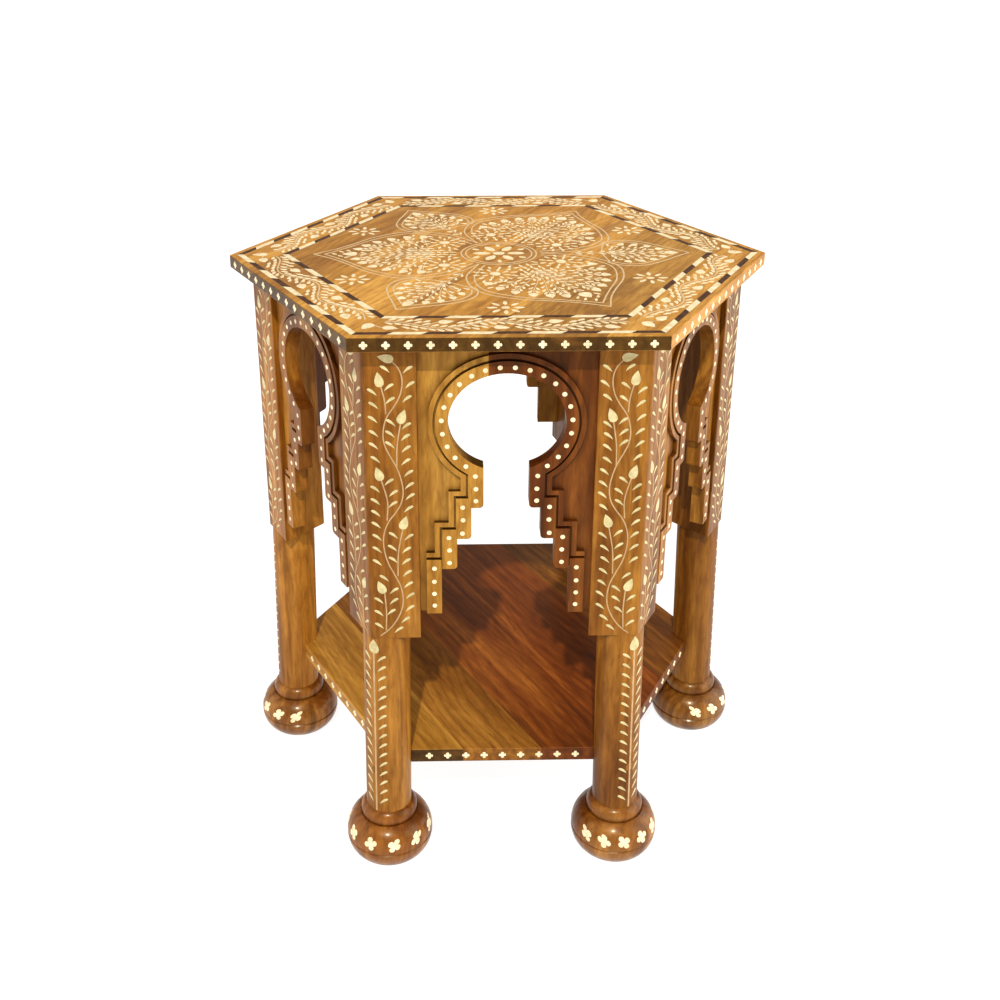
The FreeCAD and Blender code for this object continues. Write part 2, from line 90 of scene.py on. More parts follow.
def placed(name: str, data: bpy.types.ID) -> bpy.types.Object:
    """Adds an object to the scene.

    Args:
        name: The object's name.
        data: The mesh, light or camera that it shows.

    Returns:
        The new object.
    """
    made = bpy.data.objects.new(name, data)
    bpy.context.scene.collection.objects.link(made)
    return made


# Sizes shared with the woodwork


@dataclass(frozen=True)
class StoolSizes:
    """Sizes of the woodwork that the inlay follows, in metres. The first four are read from the frame."""

    top_level: float
    top_corner_radius: float
    shelf_middle: float
    foot_place: float
    leg_arris_radius: float = 243.5 * MM
    block_bottom: float = 255.5 * MM
    column_top_place: float = 218.097 * MM
    column_lean: float = math.radians(1.4)
    column_radius: float = 22.0 * MM
    foot_height: float = 57.0 * MM
    foot_ball_radius: float = 42.0 * MM
    foot_ball_level: float = 22.4 * MM
    foot_ball_curve: float = 25.67 * MM
    shelf_apothem: float = 191.877 * MM
    panel_band_recess: float = 1.0 * MM

    @classmethod
    def from_frame(cls) -> StoolSizes:
        """Measures the nodes of the frame.

        Returns:
            The sizes.
        """
        corners = [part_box(f"top_board_{i}")[1].x for i in range(1, 7)]
        foot_low, foot_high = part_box("right_foot")
        shelf_low, shelf_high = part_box("shelf_board_3")
        return cls(
            top_level=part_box("top_board_3")[1].z,
            top_corner_radius=max(corners),
            shelf_middle=(shelf_high.z + shelf_low.z) / 2,
            foot_place=(foot_low.x + foot_high.x) / 2,
        )

    @property
    def top_apothem(self) -> float:
        """Returns the distance from the axis to the top's edge faces."""
        return self.top_corner_radius * math.cos(SIDE_TURN / 2)

    @property
    def face_apothem(self) -> float:
        """Returns the distance from the axis to the outer leg faces."""
        return self.leg_arris_radius * math.cos(SIDE_TURN / 2)

    @property
    def arris_along(self) -> float:
        """Returns the distance along a side from its middle to the leg's arris."""
        return self.leg_arris_radius * math.sin(SIDE_TURN / 2)


# Surfaces that carry inlay


@dataclass(frozen=True)
class FlatFace:
    """A flat face with an origin and two directions."""

    origin: Vector
    along: Vector
    up: Vector
    curved: bool = False

    def point(self, along: float, up: float, height: float) -> Vector:
        """Returns the place in the stool of a point of the inlay."""
        normal = self.along.cross(self.up)
        return self.origin + self.along * along + self.up * up + normal * height

    @classmethod
    def of_side(cls, side: str, apothem: float) -> FlatFace:
        """Returns the upright face of a side at a distance from the axis, with its origin on the floor."""
        out = heading(SIDES[side])
        return cls(out * apothem, UPRIGHT.cross(out), UPRIGHT)


@dataclass(frozen=True)
class RoundColumn:
    """The round of a leaning column, unrolled from the line that faces outwards."""

    facing: float
    radius: float
    top_place: float
    top_level: float
    lean: float
    curved: bool = True

    def point(self, along: float, up: float, height: float) -> Vector:
        """Finds the place in the stool of a point of the inlay.

        Args:
            along: Distance round the column from the facing line.
            up: Level above the floor.
            height: Distance out of the column.

        Returns:
            The place.
        """
        axis = heading(self.facing) * (self.top_place + (self.top_level - up) * math.tan(self.lean))
        out = heading(self.facing + math.degrees(along / self.radius))
        return axis + out * (self.radius + height) + Vector((0, 0, up))


@dataclass(frozen=True)
class BallShoulder:
    """The upper round of a turned foot, a ring arc about the foot's axis."""

    axis: Vector
    facing: float
    ball_radius: float
    level: float
    curve: float
    curved: bool = True

    def point(self, along: float, up: float, height: float) -> Vector:
        """Finds the place in the stool of a point of the inlay.

        Args:
            along: Distance round the foot from the facing line.
            up: Distance up the arc from the widest line.
            height: Distance out of the ball.

        Returns:
            The place.
        """
        rise = up / self.curve
        reach = self.ball_radius - self.curve + (self.curve + height) * math.cos(rise)
        out = heading(self.facing + math.degrees(along / reach))
        return self.axis + out * reach + Vector((0, 0, self.level + (self.curve + height) * math.sin(rise)))


Surface = FlatFace | RoundColumn | BallShoulder


# Lines that stems and rows follow


@dataclass(frozen=True)
class SmoothLine:
    """A smooth line through a few points of a flat drawing."""

    STEP = 0.002
    PIECES = 60

    points: Places

    def at(self, share: float) -> Vector:
        """Finds a point of the line.

        Args:
            share: The share of the line's spans, from 0 to 1.

        Returns:
            The point.
        """
        spans = len(self.points) - 1
        place = min(max(share, 0.0), 1.0) * spans
        i = min(int(place), spans - 1)
        t = place - i
        p1, p2 = Vector(self.points[i]), Vector(self.points[i + 1])
        p0 = Vector(self.points[i - 1]) if i > 0 else 2 * p1 - p2
        p3 = Vector(self.points[i + 2]) if i + 2 <= spans else 2 * p2 - p1
        bend = (2 * p0 - 5 * p1 + 4 * p2 - p3) * t * t + (3 * p1 - p0 - 3 * p2 + p3) * t * t * t
        return (2 * p1 + (p2 - p0) * t + bend) / 2

    def heading_at(self, share: float) -> float:
        """Returns the line's angle in radians at a share of it."""
        ahead, back = self.at(min(share + self.STEP, 1.0)), self.at(max(share - self.STEP, 0.0))
        return math.atan2(ahead.y - back.y, ahead.x - back.x)

    def length(self) -> float:
        """Returns the line's length."""
        places = [self.at(i / self.PIECES) for i in range(self.PIECES + 1)]
        return sum((b - a).length for a, b in zip(places, places[1:]))

    def mirrored(self) -> SmoothLine:
        """Returns the line mirrored across the drawing's first axis."""
        return SmoothLine(tuple((x, -y) for x, y in self.points))


# Chips of bone


class Chip(Enum):
    """The outlines that the bone chips are sawn to."""

    DOT = "dot"
    COMMA = "comma"
    BUD = "bud"
    PETAL = "petal"
    QUATREFOIL = "quatrefoil"

    @property
    def corners(self) -> int:
        """Returns how many corners the sawn outline has."""
        return {Chip.DOT: 12, Chip.COMMA: 14, Chip.BUD: 16, Chip.PETAL: 12, Chip.QUATREFOIL: 32}[self]

    def shaped(self, x: float, y: float) -> Pair:
        """Finds where a point of the unit circle goes in this outline.

        The outline runs from its head at 0 to its tail at 1, and from -1 to 1 across.

        Args:
            x: The circle point's first coordinate.
            y: The circle point's second coordinate.

        Returns:
            The place along the outline and the place across it.
        """
        run = (1 - x) / 2
        if self is Chip.COMMA:
            return run, y * (1 - run) ** 0.48 * 1.12
        if self is Chip.BUD:
            return run, y * (1 - run) ** 0.55 * 1.34
        if self is Chip.PETAL:
            return run, y * (0.45 + 0.55 * abs(y))
        if self is Chip.QUATREFOIL:
            reach = 0.46 + 0.54 * abs(math.cos(2 * math.atan2(y, x))) ** 0.6
            return (1 - x * reach) / 2, y * reach
        return run, y


class InlayPiece:
    """One mesh of bone chips and stems let into a surface."""

    PROUD = 0.15 * MM
    SUNK = 0.30 * MM
    CHIP_SLOT = 0
    STEM_SLOT = 1
    BEND_MIDDLE = 0.3
    SHARE_STEP = 0.004
    # Stems that cross lie at slightly different depths, in millimetres, so that no two faces fall together.
    FIRST_DEPTH = 0.010
    DEPTH_STEP = 0.006
    DEPTHS = 17

    def __init__(self, name: str, surface: Surface) -> None:
        """Starts an empty piece.

        Args:
            name: The piece's name.
            surface: The face that carries the chips.
        """
        self.name = name
        self.surface = surface
        self.mesh = bmesh.new()
        self.stems = 0

    def _raise(self, faces: Sequence[bmesh.types.BMFace], slot: int) -> list[bmesh.types.BMVert]:
        """Gives flat faces their thickness.

        Args:
            faces: The flat faces of a new chip or stem.
            slot: The material slot that they take.

        Returns:
            All vertices of the new plate.
        """
        base = {v for f in faces for v in f.verts}
        for v in base:
            v.co.z = -self.SUNK
        made = bmesh.ops.extrude_face_region(self.mesh, geom=list(faces), use_keep_orig=True)["geom"]
        top = [g for g in made if isinstance(g, bmesh.types.BMVert)]
        for v in top:
            v.co.z = self.PROUD
        verts = list(base) + top
        for f in {f for v in verts for f in v.link_faces}:
            f.material_index = slot
        return verts

    def _divide(self, faces: Sequence[bmesh.types.BMFace]) -> list[bmesh.types.BMFace]:
        """Divides a new chip's fan of faces, so that it can follow a round.

        Args:
            faces: The fan of faces.

        Returns:
            All faces of the divided chip.
        """
        edges = list({e for f in faces for e in f.edges if len(e.link_faces) == 2})
        made = bmesh.ops.subdivide_edges(self.mesh, edges=edges, cuts=1, use_grid_fill=True)["geom"]
        return list({f for g in made if isinstance(g, bmesh.types.BMVert) for f in g.link_faces})

    def chip(
        self, kind: Chip, place: Vector, angle: float, length: float, width: float, bend: float = 0.0
    ) -> None:
        """Adds a chip of bone.

        Args:
            kind: The chip's outline.
            place: The chip's middle in the surface's two directions.
            angle: The way from the chip's tail to its head, in radians.
            length: The chip's length.
            width: The chip's width.
            bend: How far the tail droops to the side.
        """
        round_face = self.surface.curved
        made = bmesh.ops.create_circle(
            self.mesh, cap_ends=True, cap_tris=round_face, radius=1.0, segments=kind.corners
        )["verts"]
        faces = list({f for v in made for f in v.link_faces})
        if round_face:
            faces = self._divide(faces)
        verts = self._raise(faces, self.CHIP_SLOT)
        turn = Matrix.Rotation(angle, 2)
        for v in verts:
            run, side = kind.shaped(v.co.x, v.co.y)
            droop = bend * (run * run - self.BEND_MIDDLE)
            flat = place + turn @ Vector(((0.5 - run) * length, side * width / 2 + droop))
            v.co = self.surface.point(flat.x, flat.y, v.co.z)

    def stem(self, line: Callable[[float], Vector], width: float, steps: int) -> None:
        """Adds a thin inlaid line.

        Args:
            line: Gives the place in the surface's two directions at a share of the line.
            width: The line's width.
            steps: How many straight steps the line is made of.
        """
        made = bmesh.ops.create_grid(self.mesh, x_segments=steps, y_segments=1, size=0.5)["verts"]
        verts = self._raise(list({f for v in made for f in v.link_faces}), self.STEM_SLOT)
        lower = (self.FIRST_DEPTH + self.DEPTH_STEP * (self.stems % self.DEPTHS)) * MM
        self.stems += 1
        for v in verts:
            share = v.co.x + 0.5
            ahead, back = line(min(share + self.SHARE_STEP, 1.0)), line(max(share - self.SHARE_STEP, 0.0))
            normal = Vector((back.y - ahead.y, ahead.x - back.x)).normalized()
            flat = line(share) + normal * (v.co.y * width)
            v.co = self.surface.point(flat.x, flat.y, v.co.z - lower)

    def finish(self, finishes: FinishBook, worn: bool = False) -> None:
        """Makes the object, dresses it and lets it ride on the stool.

        Args:
            finishes: The stool's finishes.
            worn: Whether the bone is the darker one of the legs.
        """
        bmesh.ops.recalc_face_normals(self.mesh, faces=self.mesh.faces)
        data = bpy.data.meshes.new(self.name)
        self.mesh.to_mesh(data)
        self.mesh.free()
        piece = placed(self.name, data)
        data.materials.append(finishes.worn_bone if worn else finishes.bone)
        data.materials.append(finishes.stem if worn else finishes.bright_stem)
        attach(piece, BODY)
        LOG.info("%s: %d faces", self.name, len(data.polygons))


# Finishes


class NodeSheet:
    """Adds shader nodes to a material and links them."""

    def __init__(self, name: str) -> None:
        """Starts a material with an empty node tree.

        Args:
            name: The material's name.
        """
        self.material = bpy.data.materials.new(name)
        self.material.use_nodes = True
        self.tree = self.material.node_tree
        self.tree.nodes.clear()

    def add(
        self, kind: str, inputs: dict[str | int, object] | None = None, **settings: object
    ) -> bpy.types.Node:
        """Adds a node.

        Args:
            kind: The node's type.
            inputs: Socket values, or sockets to link from.
            settings: The node's own settings.

        Returns:
            The new node.
        """
        node = self.tree.nodes.new(kind)
        for key, value in settings.items():
            setattr(node, key, value)
        for key, value in (inputs or {}).items():
            if isinstance(value, Socket):
                self.tree.links.new(value, node.inputs[key])
            else:
                node.inputs[key].default_value = value
        return node

    def coords(self) -> Socket:
        """Returns the coordinates of the object."""
        return self.add("ShaderNodeTexCoord").outputs["Object"]

    def mapped(self, vector: Socket, **inputs: object) -> Socket:
        """Returns the coordinates moved, turned or scaled."""
        return self.add("ShaderNodeMapping", {"Vector": vector, **inputs}).outputs["Vector"]

    def noise(
        self, vector: Socket, scale: float, detail: float, roughness: float = 0.5, distortion: float = 0.0
    ) -> Socket:
        """Returns the factor of a noise at the coordinates, with its scale per metre."""
        inputs = {"Vector": vector, "Scale": scale, "Detail": detail, "Roughness": roughness}
        return self.add("ShaderNodeTexNoise", {**inputs, "Distortion": distortion}).outputs["Fac"]

    def ramp(self, factor: Socket, stops: Stops) -> Socket:
        """Adds a colour ramp.

        Args:
            factor: The socket that drives it.
            stops: Places and colours along it.

        Returns:
            The ramp's colour socket.
        """
        node = self.add("ShaderNodeValToRGB", {"Fac": factor})
        band = node.color_ramp
        while len(band.elements) < len(stops):
            band.elements.new(0.5)
        for element, (place, colour) in zip(band.elements, stops):
            element.position = place
            element.color = (*colour, 1.0)
        return node.outputs["Color"]

    def mix(self, factor: object, first: object, second: object, blend: str = "MIX") -> Socket:
        """Returns the mix of two colours, with the factor as the second one's share."""
        # The mix node's sockets go by number: 4 and 5 take vectors, 6 and 7 take colours.
        inputs = {0: factor, 6: first, 7: second}
        return self.add("ShaderNodeMix", inputs, data_type="RGBA", blend_type=blend).outputs[2]

    def reckon(self, operation: str, *values: object) -> Socket:
        """Returns the result of an operation on numbers."""
        return self.add("ShaderNodeMath", dict(enumerate(values)), operation=operation).outputs[0]

    def spread(
        self, factor: Socket, first: float, last: float, low: float = 0.3, high: float = 0.7
    ) -> Socket:
        """Returns a value that goes from the first to the last while the factor goes from low to high."""
        inputs = {"Value": factor, "From Min": low, "From Max": high, "To Min": first, "To Max": last}
        return self.add("ShaderNodeMapRange", inputs).outputs[0]

    def bump(self, height: Socket, strength: float, distance: float) -> Socket:
        """Returns the normal of a surface with a fine relief."""
        inputs = {"Height": height, "Strength": strength, "Distance": distance}
        return self.add("ShaderNodeBump", inputs).outputs[0]

    def finish(self, inputs: dict[str, object]) -> bpy.types.Material:
        """Adds the surface shader and links it to the output.

        Args:
            inputs: The shader's values, or sockets to link from.

        Returns:
            The material.
        """
        shader = self.add("ShaderNodeBsdfPrincipled", inputs)
        self.add("ShaderNodeOutputMaterial", {"Surface": shader.outputs[0]})
        return self.material


# The layers of the wood's figure: scale along the grain and across it, per metre, detail and distortion.
FIGURE = {
    "wander": (2.6, 7.0, 2.0, 0.0),
    "bands": (2.2, 21.0, 4.0, 0.7),
    "fine": (9.0, 150.0, 4.0, 0.0),
    "mottle": (42.0, 190.0, 3.0, 0.8),
    "pores": (60.0, 1500.0, 2.0, 0.0),
    "heart": (1.7, 15.0, 4.0, 1.3),
}


@dataclass(frozen=True)
class WoodFinish:
    """Oiled hardwood: bands of colour, growth lines, veins, pores, a sheen, and oil settled in the hollows
    together with painted shade there.
    """

    dark: Colour
    middle: Colour
    light: Colour
    vein: Colour
    vein_amount: float = 0.6
    line_amount: float = 0.5
    hair_amount: float = 0.6
    roughness: float = 0.40
    coat: float = 0.0
    end_tone: float = 0.75
    # The settled amount and the hollow reach set the ambient-occlusion darkening: partly oil settled in the
    # hollows, partly painted shade.
    settled_oil_and_shade_amount: float = 0.9
    mottle_amount: float = 0.7
    pore_amount: float = 0.6
    oil_and_shade_reach: float = 7.0 * MM
    figure_roughness: float = 0.55
    specular: float = 0.36
    specular_tint: Colour = (1.0, 0.82, 0.5)
    index: float = 1.36
    coat_roughness: float = 0.16
    relief_depth: float = 0.4 * MM

    def material(self, name: str, grain: Vector, seed: int, tone: float = 1.0) -> bpy.types.Material:
        """Makes the finish for one piece of wood.

        Args:
            name: The material's name.
            grain: The way the grain runs.
            seed: Moves the figure, so that no two pieces match.
            tone: Multiplies the colours of this piece.

        Returns:
            The material.
        """
        sheet = NodeSheet(name)
        chance = random.Random(seed)
        turn = grain.normalized().rotation_difference(Vector((1, 0, 0))).to_euler()
        place = [chance.uniform(-3, 3) for _ in range(3)]
        aligned = sheet.mapped(sheet.coords(), Rotation=turn, Location=place)
        figure = {}
        for layer, (along, across, detail, distortion) in FIGURE.items():
            stretched = sheet.mapped(aligned, Scale=(along, across, across))
            figure[layer] = sheet.noise(stretched, 1.0, detail, self.figure_roughness, distortion)
        way = sheet.add("ShaderNodeNewGeometry").outputs["Normal"]
        facing = sheet.add("ShaderNodeVectorMath", {0: way, 1: grain.normalized()}, operation="DOT_PRODUCT")
        # Ambient occlusion darkens the colour in hollows and corners: partly oil settled there, partly
        # painted shade.
        oil_and_shade_hollows = sheet.add(
            "ShaderNodeAmbientOcclusion", {"Distance": self.oil_and_shade_reach}, samples=4, only_local=True
        ).outputs["AO"]
        ends = (self.end_tone, self.end_tone * 0.9, self.end_tone * 0.75)
        layers = (
            (self._rings(sheet, aligned, figure["wander"]), self.line_amount,
             ((0.02, (0.66, 0.56, 0.48)), (0.55, (1.04, 1.04, 1.04)))),
            (figure["fine"], self.hair_amount, ((0.36, (0.58, 0.47, 0.36)), (0.62, (1.20, 1.20, 1.20)))),
            (figure["mottle"], self.mottle_amount, ((0.36, (0.74, 0.66, 0.58)), (0.60, (1.12, 1.12, 1.12)))),
            (oil_and_shade_hollows, self.settled_oil_and_shade_amount, ((0.40, (0.34, 0.26, 0.19)), (0.92, WHITE))),
            (figure["pores"], self.pore_amount, ((0.30, (0.46, 0.38, 0.30)), (0.40, WHITE))),
            (sheet.reckon("ABSOLUTE", facing.outputs["Value"]), 1.0, ((0.45, WHITE), (0.85, ends))),
        )
        tinted = [tuple(c * tone for c in colour) for colour in (self.dark, self.middle, self.light)]
        colour = sheet.ramp(figure["bands"], list(zip((0.34, 0.49, 0.66), tinted)))
        for factor, amount, stops in layers:
            colour = sheet.mix(amount, colour, sheet.ramp(factor, stops), "MULTIPLY")
        stops = ((0.585, (0.0, 0.0, 0.0)), (0.66, WHITE), (0.74, (0.35, 0.35, 0.35)))
        amount = sheet.reckon("MULTIPLY", sheet.ramp(figure["heart"], stops), self.vein_amount)
        colour = sheet.mix(amount, colour, (*(c * tone for c in self.vein), 1.0))
        relief = sheet.reckon("ADD", figure["fine"], figure["pores"])
        return sheet.finish({
            "Base Color": colour,
            "Roughness": sheet.spread(figure["fine"], self.roughness + 0.08, self.roughness - 0.05),
            "Normal": sheet.bump(relief, 0.22, self.relief_depth),
            "Coat Weight": self.coat,
            "Coat Roughness": self.coat_roughness,
            "IOR": self.index,
            "Specular IOR Level": self.specular,
            "Specular Tint": (*self.specular_tint, 1.0),
        })

    @staticmethod
    def _rings(sheet: NodeSheet, aligned: Socket, wander: Socket) -> Socket:
        """Adds the growth lines.

        Args:
            sheet: The node sheet.
            aligned: The coordinates, with the grain along their first axis.
            wander: The noise that moves the lines about.

        Returns:
            The lines' factor socket.
        """
        moved = sheet.add("ShaderNodeMix", {0: 0.12, 4: aligned, 5: wander}, data_type="VECTOR").outputs[1]
        return sheet.add(
            "ShaderNodeTexWave",
            {"Vector": sheet.mapped(moved, Scale=(0.10, 1.0, 1.0)), "Scale": 38.0, "Distortion": 3.4,
             "Detail": 3.0, "Detail Scale": 1.6},
            wave_type="BANDS", bands_direction="Y", wave_profile="SIN",
        ).outputs["Fac"]


@dataclass(frozen=True)
class PolishedFinish:
    """A close-grained polished finish, such as bone or ebony: a slight mottle under a soft sheen."""

    first: Colour
    second: Colour
    mottle_scale: float = 160.0
    speck_scale: float = 1920.0
    speck_amount: float = 0.5
    roughness: float = 0.34
    specular: float = 0.30
    index: float = 1.4
    coat: float = 0.05
    coat_roughness: float = 0.2
    relief_depth: float = 0.2 * MM

    def material(self, name: str) -> bpy.types.Material:
        """Makes the finish.

        Args:
            name: The material's name.

        Returns:
            The material.
        """
        sheet = NodeSheet(name)
        coords = sheet.coords()
        cloud = sheet.noise(coords, self.mottle_scale, 3.0, 0.6)
        speck = sheet.noise(coords, self.speck_scale, 2.0)
        colour = sheet.ramp(cloud, ((0.35, self.first), (0.65, self.second)))
        grains = sheet.ramp(speck, ((0.30, (0.78, 0.74, 0.68)), (0.46, WHITE)))
        return sheet.finish({
            "Base Color": sheet.mix(self.speck_amount, colour, grains, "MULTIPLY"),
            "Roughness": sheet.spread(speck, self.roughness + 0.08, self.roughness),
            "Normal": sheet.bump(speck, 0.08, self.relief_depth),
            "Coat Weight": self.coat,
            "Coat Roughness": self.coat_roughness,
            "IOR": self.index,
            "Specular IOR Level": self.specular,
        })


@dataclass(frozen=True)
class SteelFinish:
    """Zinc plated steel with turned marks."""

    colour: Colour = (0.56, 0.56, 0.57)
    mark_scale: float = 900.0

    def material(self, name: str) -> bpy.types.Material:
        """Makes the finish.

        Args:
            name: The material's name.

        Returns:
            The material.
        """
        sheet = NodeSheet(name)
        rough = sheet.spread(sheet.noise(sheet.coords(), self.mark_scale, 3.0), 0.28, 0.48, 0.0, 1.0)
        return sheet.finish({"Base Color": (*self.colour, 1.0), "Metallic": 1.0, "Roughness": rough})


class FinishBook:
    """The finishes that several pieces share."""

    def __init__(self) -> None:
        """Makes the shared materials."""
        self.bone = PolishedFinish((0.66, 0.54, 0.34), (0.88, 0.77, 0.54)).material("bone")
        self.worn_bone = PolishedFinish((0.45, 0.38, 0.19), (0.63, 0.55, 0.30)).material("worn_bone")
        self.stem = PolishedFinish((0.38, 0.24, 0.12), (0.48, 0.32, 0.17)).material("bone_stem")
        self.bright_stem = PolishedFinish((0.54, 0.39, 0.22), (0.66, 0.50, 0.30)).material("bright_bone_stem")
        ebony = PolishedFinish((0.032, 0.012, 0.005), (0.085, 0.030, 0.012), specular=0.12, coat=0.0)
        self.ebony = ebony.material("ebony")
        self.steel = SteelFinish().material("zinc_steel")


# Woodwork of the frame


class Timber(Enum):
    """The cuts of wood that the stool is made of, as their finishes."""

    GOLDEN = WoodFinish(
        (0.250, 0.108, 0.014), (0.350, 0.168, 0.024), (0.430, 0.225, 0.042), (0.150, 0.056, 0.010),
        line_amount=0.36, hair_amount=0.42, settled_oil_and_shade_amount=0.62, end_tone=0.15,
    )
    AMBER = WoodFinish(
        (0.130, 0.040, 0.005), (0.240, 0.090, 0.010), (0.360, 0.160, 0.024), (0.070, 0.020, 0.004)
    )
    RUSSET = WoodFinish(
        (0.070, 0.015, 0.002), (0.128, 0.031, 0.004), (0.205, 0.064, 0.009), (0.034, 0.009, 0.002)
    )
    TURNED = WoodFinish(
        (0.105, 0.028, 0.004), (0.225, 0.082, 0.012), (0.370, 0.165, 0.034), (0.050, 0.014, 0.003),
        roughness=0.30, coat=0.16, end_tone=0.8,
    )


@dataclass
class Woodwork:
    """Dresses the nodes of the frame: boards, legs, panels, feet, rings and fixings."""

    nodes: dict[str, bpy.types.Object]
    finishes: FinishBook
    board_grain: float = 60.0
    foot_grain: tuple[float, float, float] = (0.15, 0.1, 1.0)
    top_cuts: tuple[tuple[Timber, float], ...] = (
        (Timber.GOLDEN, 1.32), (Timber.GOLDEN, 1.06), (Timber.GOLDEN, 1.38), (Timber.GOLDEN, 1.46),
        (Timber.GOLDEN, 1.30), (Timber.GOLDEN, 1.40),
    )
    shelf_cuts: tuple[tuple[Timber, float], ...] = (
        (Timber.GOLDEN, 1.04), (Timber.AMBER, 0.86), (Timber.RUSSET, 1.22), (Timber.RUSSET, 1.34),
        (Timber.AMBER, 0.90),
    )
    panel_cuts: tuple[tuple[Timber, Timber], ...] = (
        (Timber.GOLDEN, Timber.RUSSET), (Timber.AMBER, Timber.AMBER), (Timber.GOLDEN, Timber.RUSSET),
        (Timber.GOLDEN, Timber.AMBER), (Timber.AMBER, Timber.RUSSET), (Timber.AMBER, Timber.AMBER),
    )
    leg_tones: tuple[float, ...] = (0.74, 0.85, 0.94, 1.15, 0.93, 0.90)
    foot_tones: tuple[float, ...] = (0.62, 0.90, 1.00, 0.86, 1.10, 0.90)
    left_tones: Pair = (0.94, 1.06)
    right_tones: Pair = (0.84, 0.94)
    dowel_tone: float = 1.1
    plug_tone: float = 0.82

    def dress(self) -> None:
        """Gives every node of the frame its finish. The seeds keep the figures of all pieces apart."""
        for i, (timber, tone) in enumerate(self.top_cuts):
            self._wood(f"top_board_{i + 1}", timber, heading(self.board_grain), 11 + i, tone)
        for i, (timber, tone) in enumerate(self.shelf_cuts):
            self._wood(f"shelf_board_{i + 1}", timber, heading(-self.board_grain), 31 + i, tone)
        for i, leg in enumerate(LEGS):
            self._wood(f"{leg}_leg", Timber.AMBER, UPRIGHT, 51 + i, self.leg_tones[i])
            self._wood(f"{leg}_foot", Timber.TURNED, Vector(self.foot_grain), 71 + i, self.foot_tones[i])
        for i, side in enumerate(SIDES):
            chance = random.Random(90 + i)
            left, right = self.panel_cuts[i]
            tone = chance.uniform(*self.left_tones)
            self._wood(f"{side}_panel_left_board", left, UPRIGHT, 91 + i, tone)
            tone = chance.uniform(*self.right_tones)
            self._wood(f"{side}_panel_right_board", right, UPRIGHT, 111 + i, tone)
        for ring in ("outer", "inner"):
            self._assign(f"{ring}_ring_bone_strips", self.finishes.bone)
            self._assign(f"{ring}_ring_ebony_strips", self.finishes.ebony)
        self._assign("shelf_screws", self.finishes.steel)
        for node in ("leg_dowels", "panel_dowels"):
            self._wood(node, Timber.GOLDEN, UPRIGHT, 7, self.dowel_tone)
        self._wood("screw_plugs", Timber.AMBER, UPRIGHT, 8, self.plug_tone)

    def _wood(self, node: str, timber: Timber, grain: Vector, seed: int, tone: float) -> None:
        """Gives a wooden node its own cut of timber, with its grain, its seed and its tone."""
        self._assign(node, timber.value.material(f"wood_{node}", grain, seed, tone))

    def _assign(self, node: str, material: bpy.types.Material) -> None:
        """Puts one material on a node.

        Args:
            node: The node's name.
            material: The material.
        """
        data = self.nodes[node].data
        data.materials.clear()
        data.materials.append(material)
        LOG.info("dressed %s with %s", node, material.name)


# Inlay of the legs


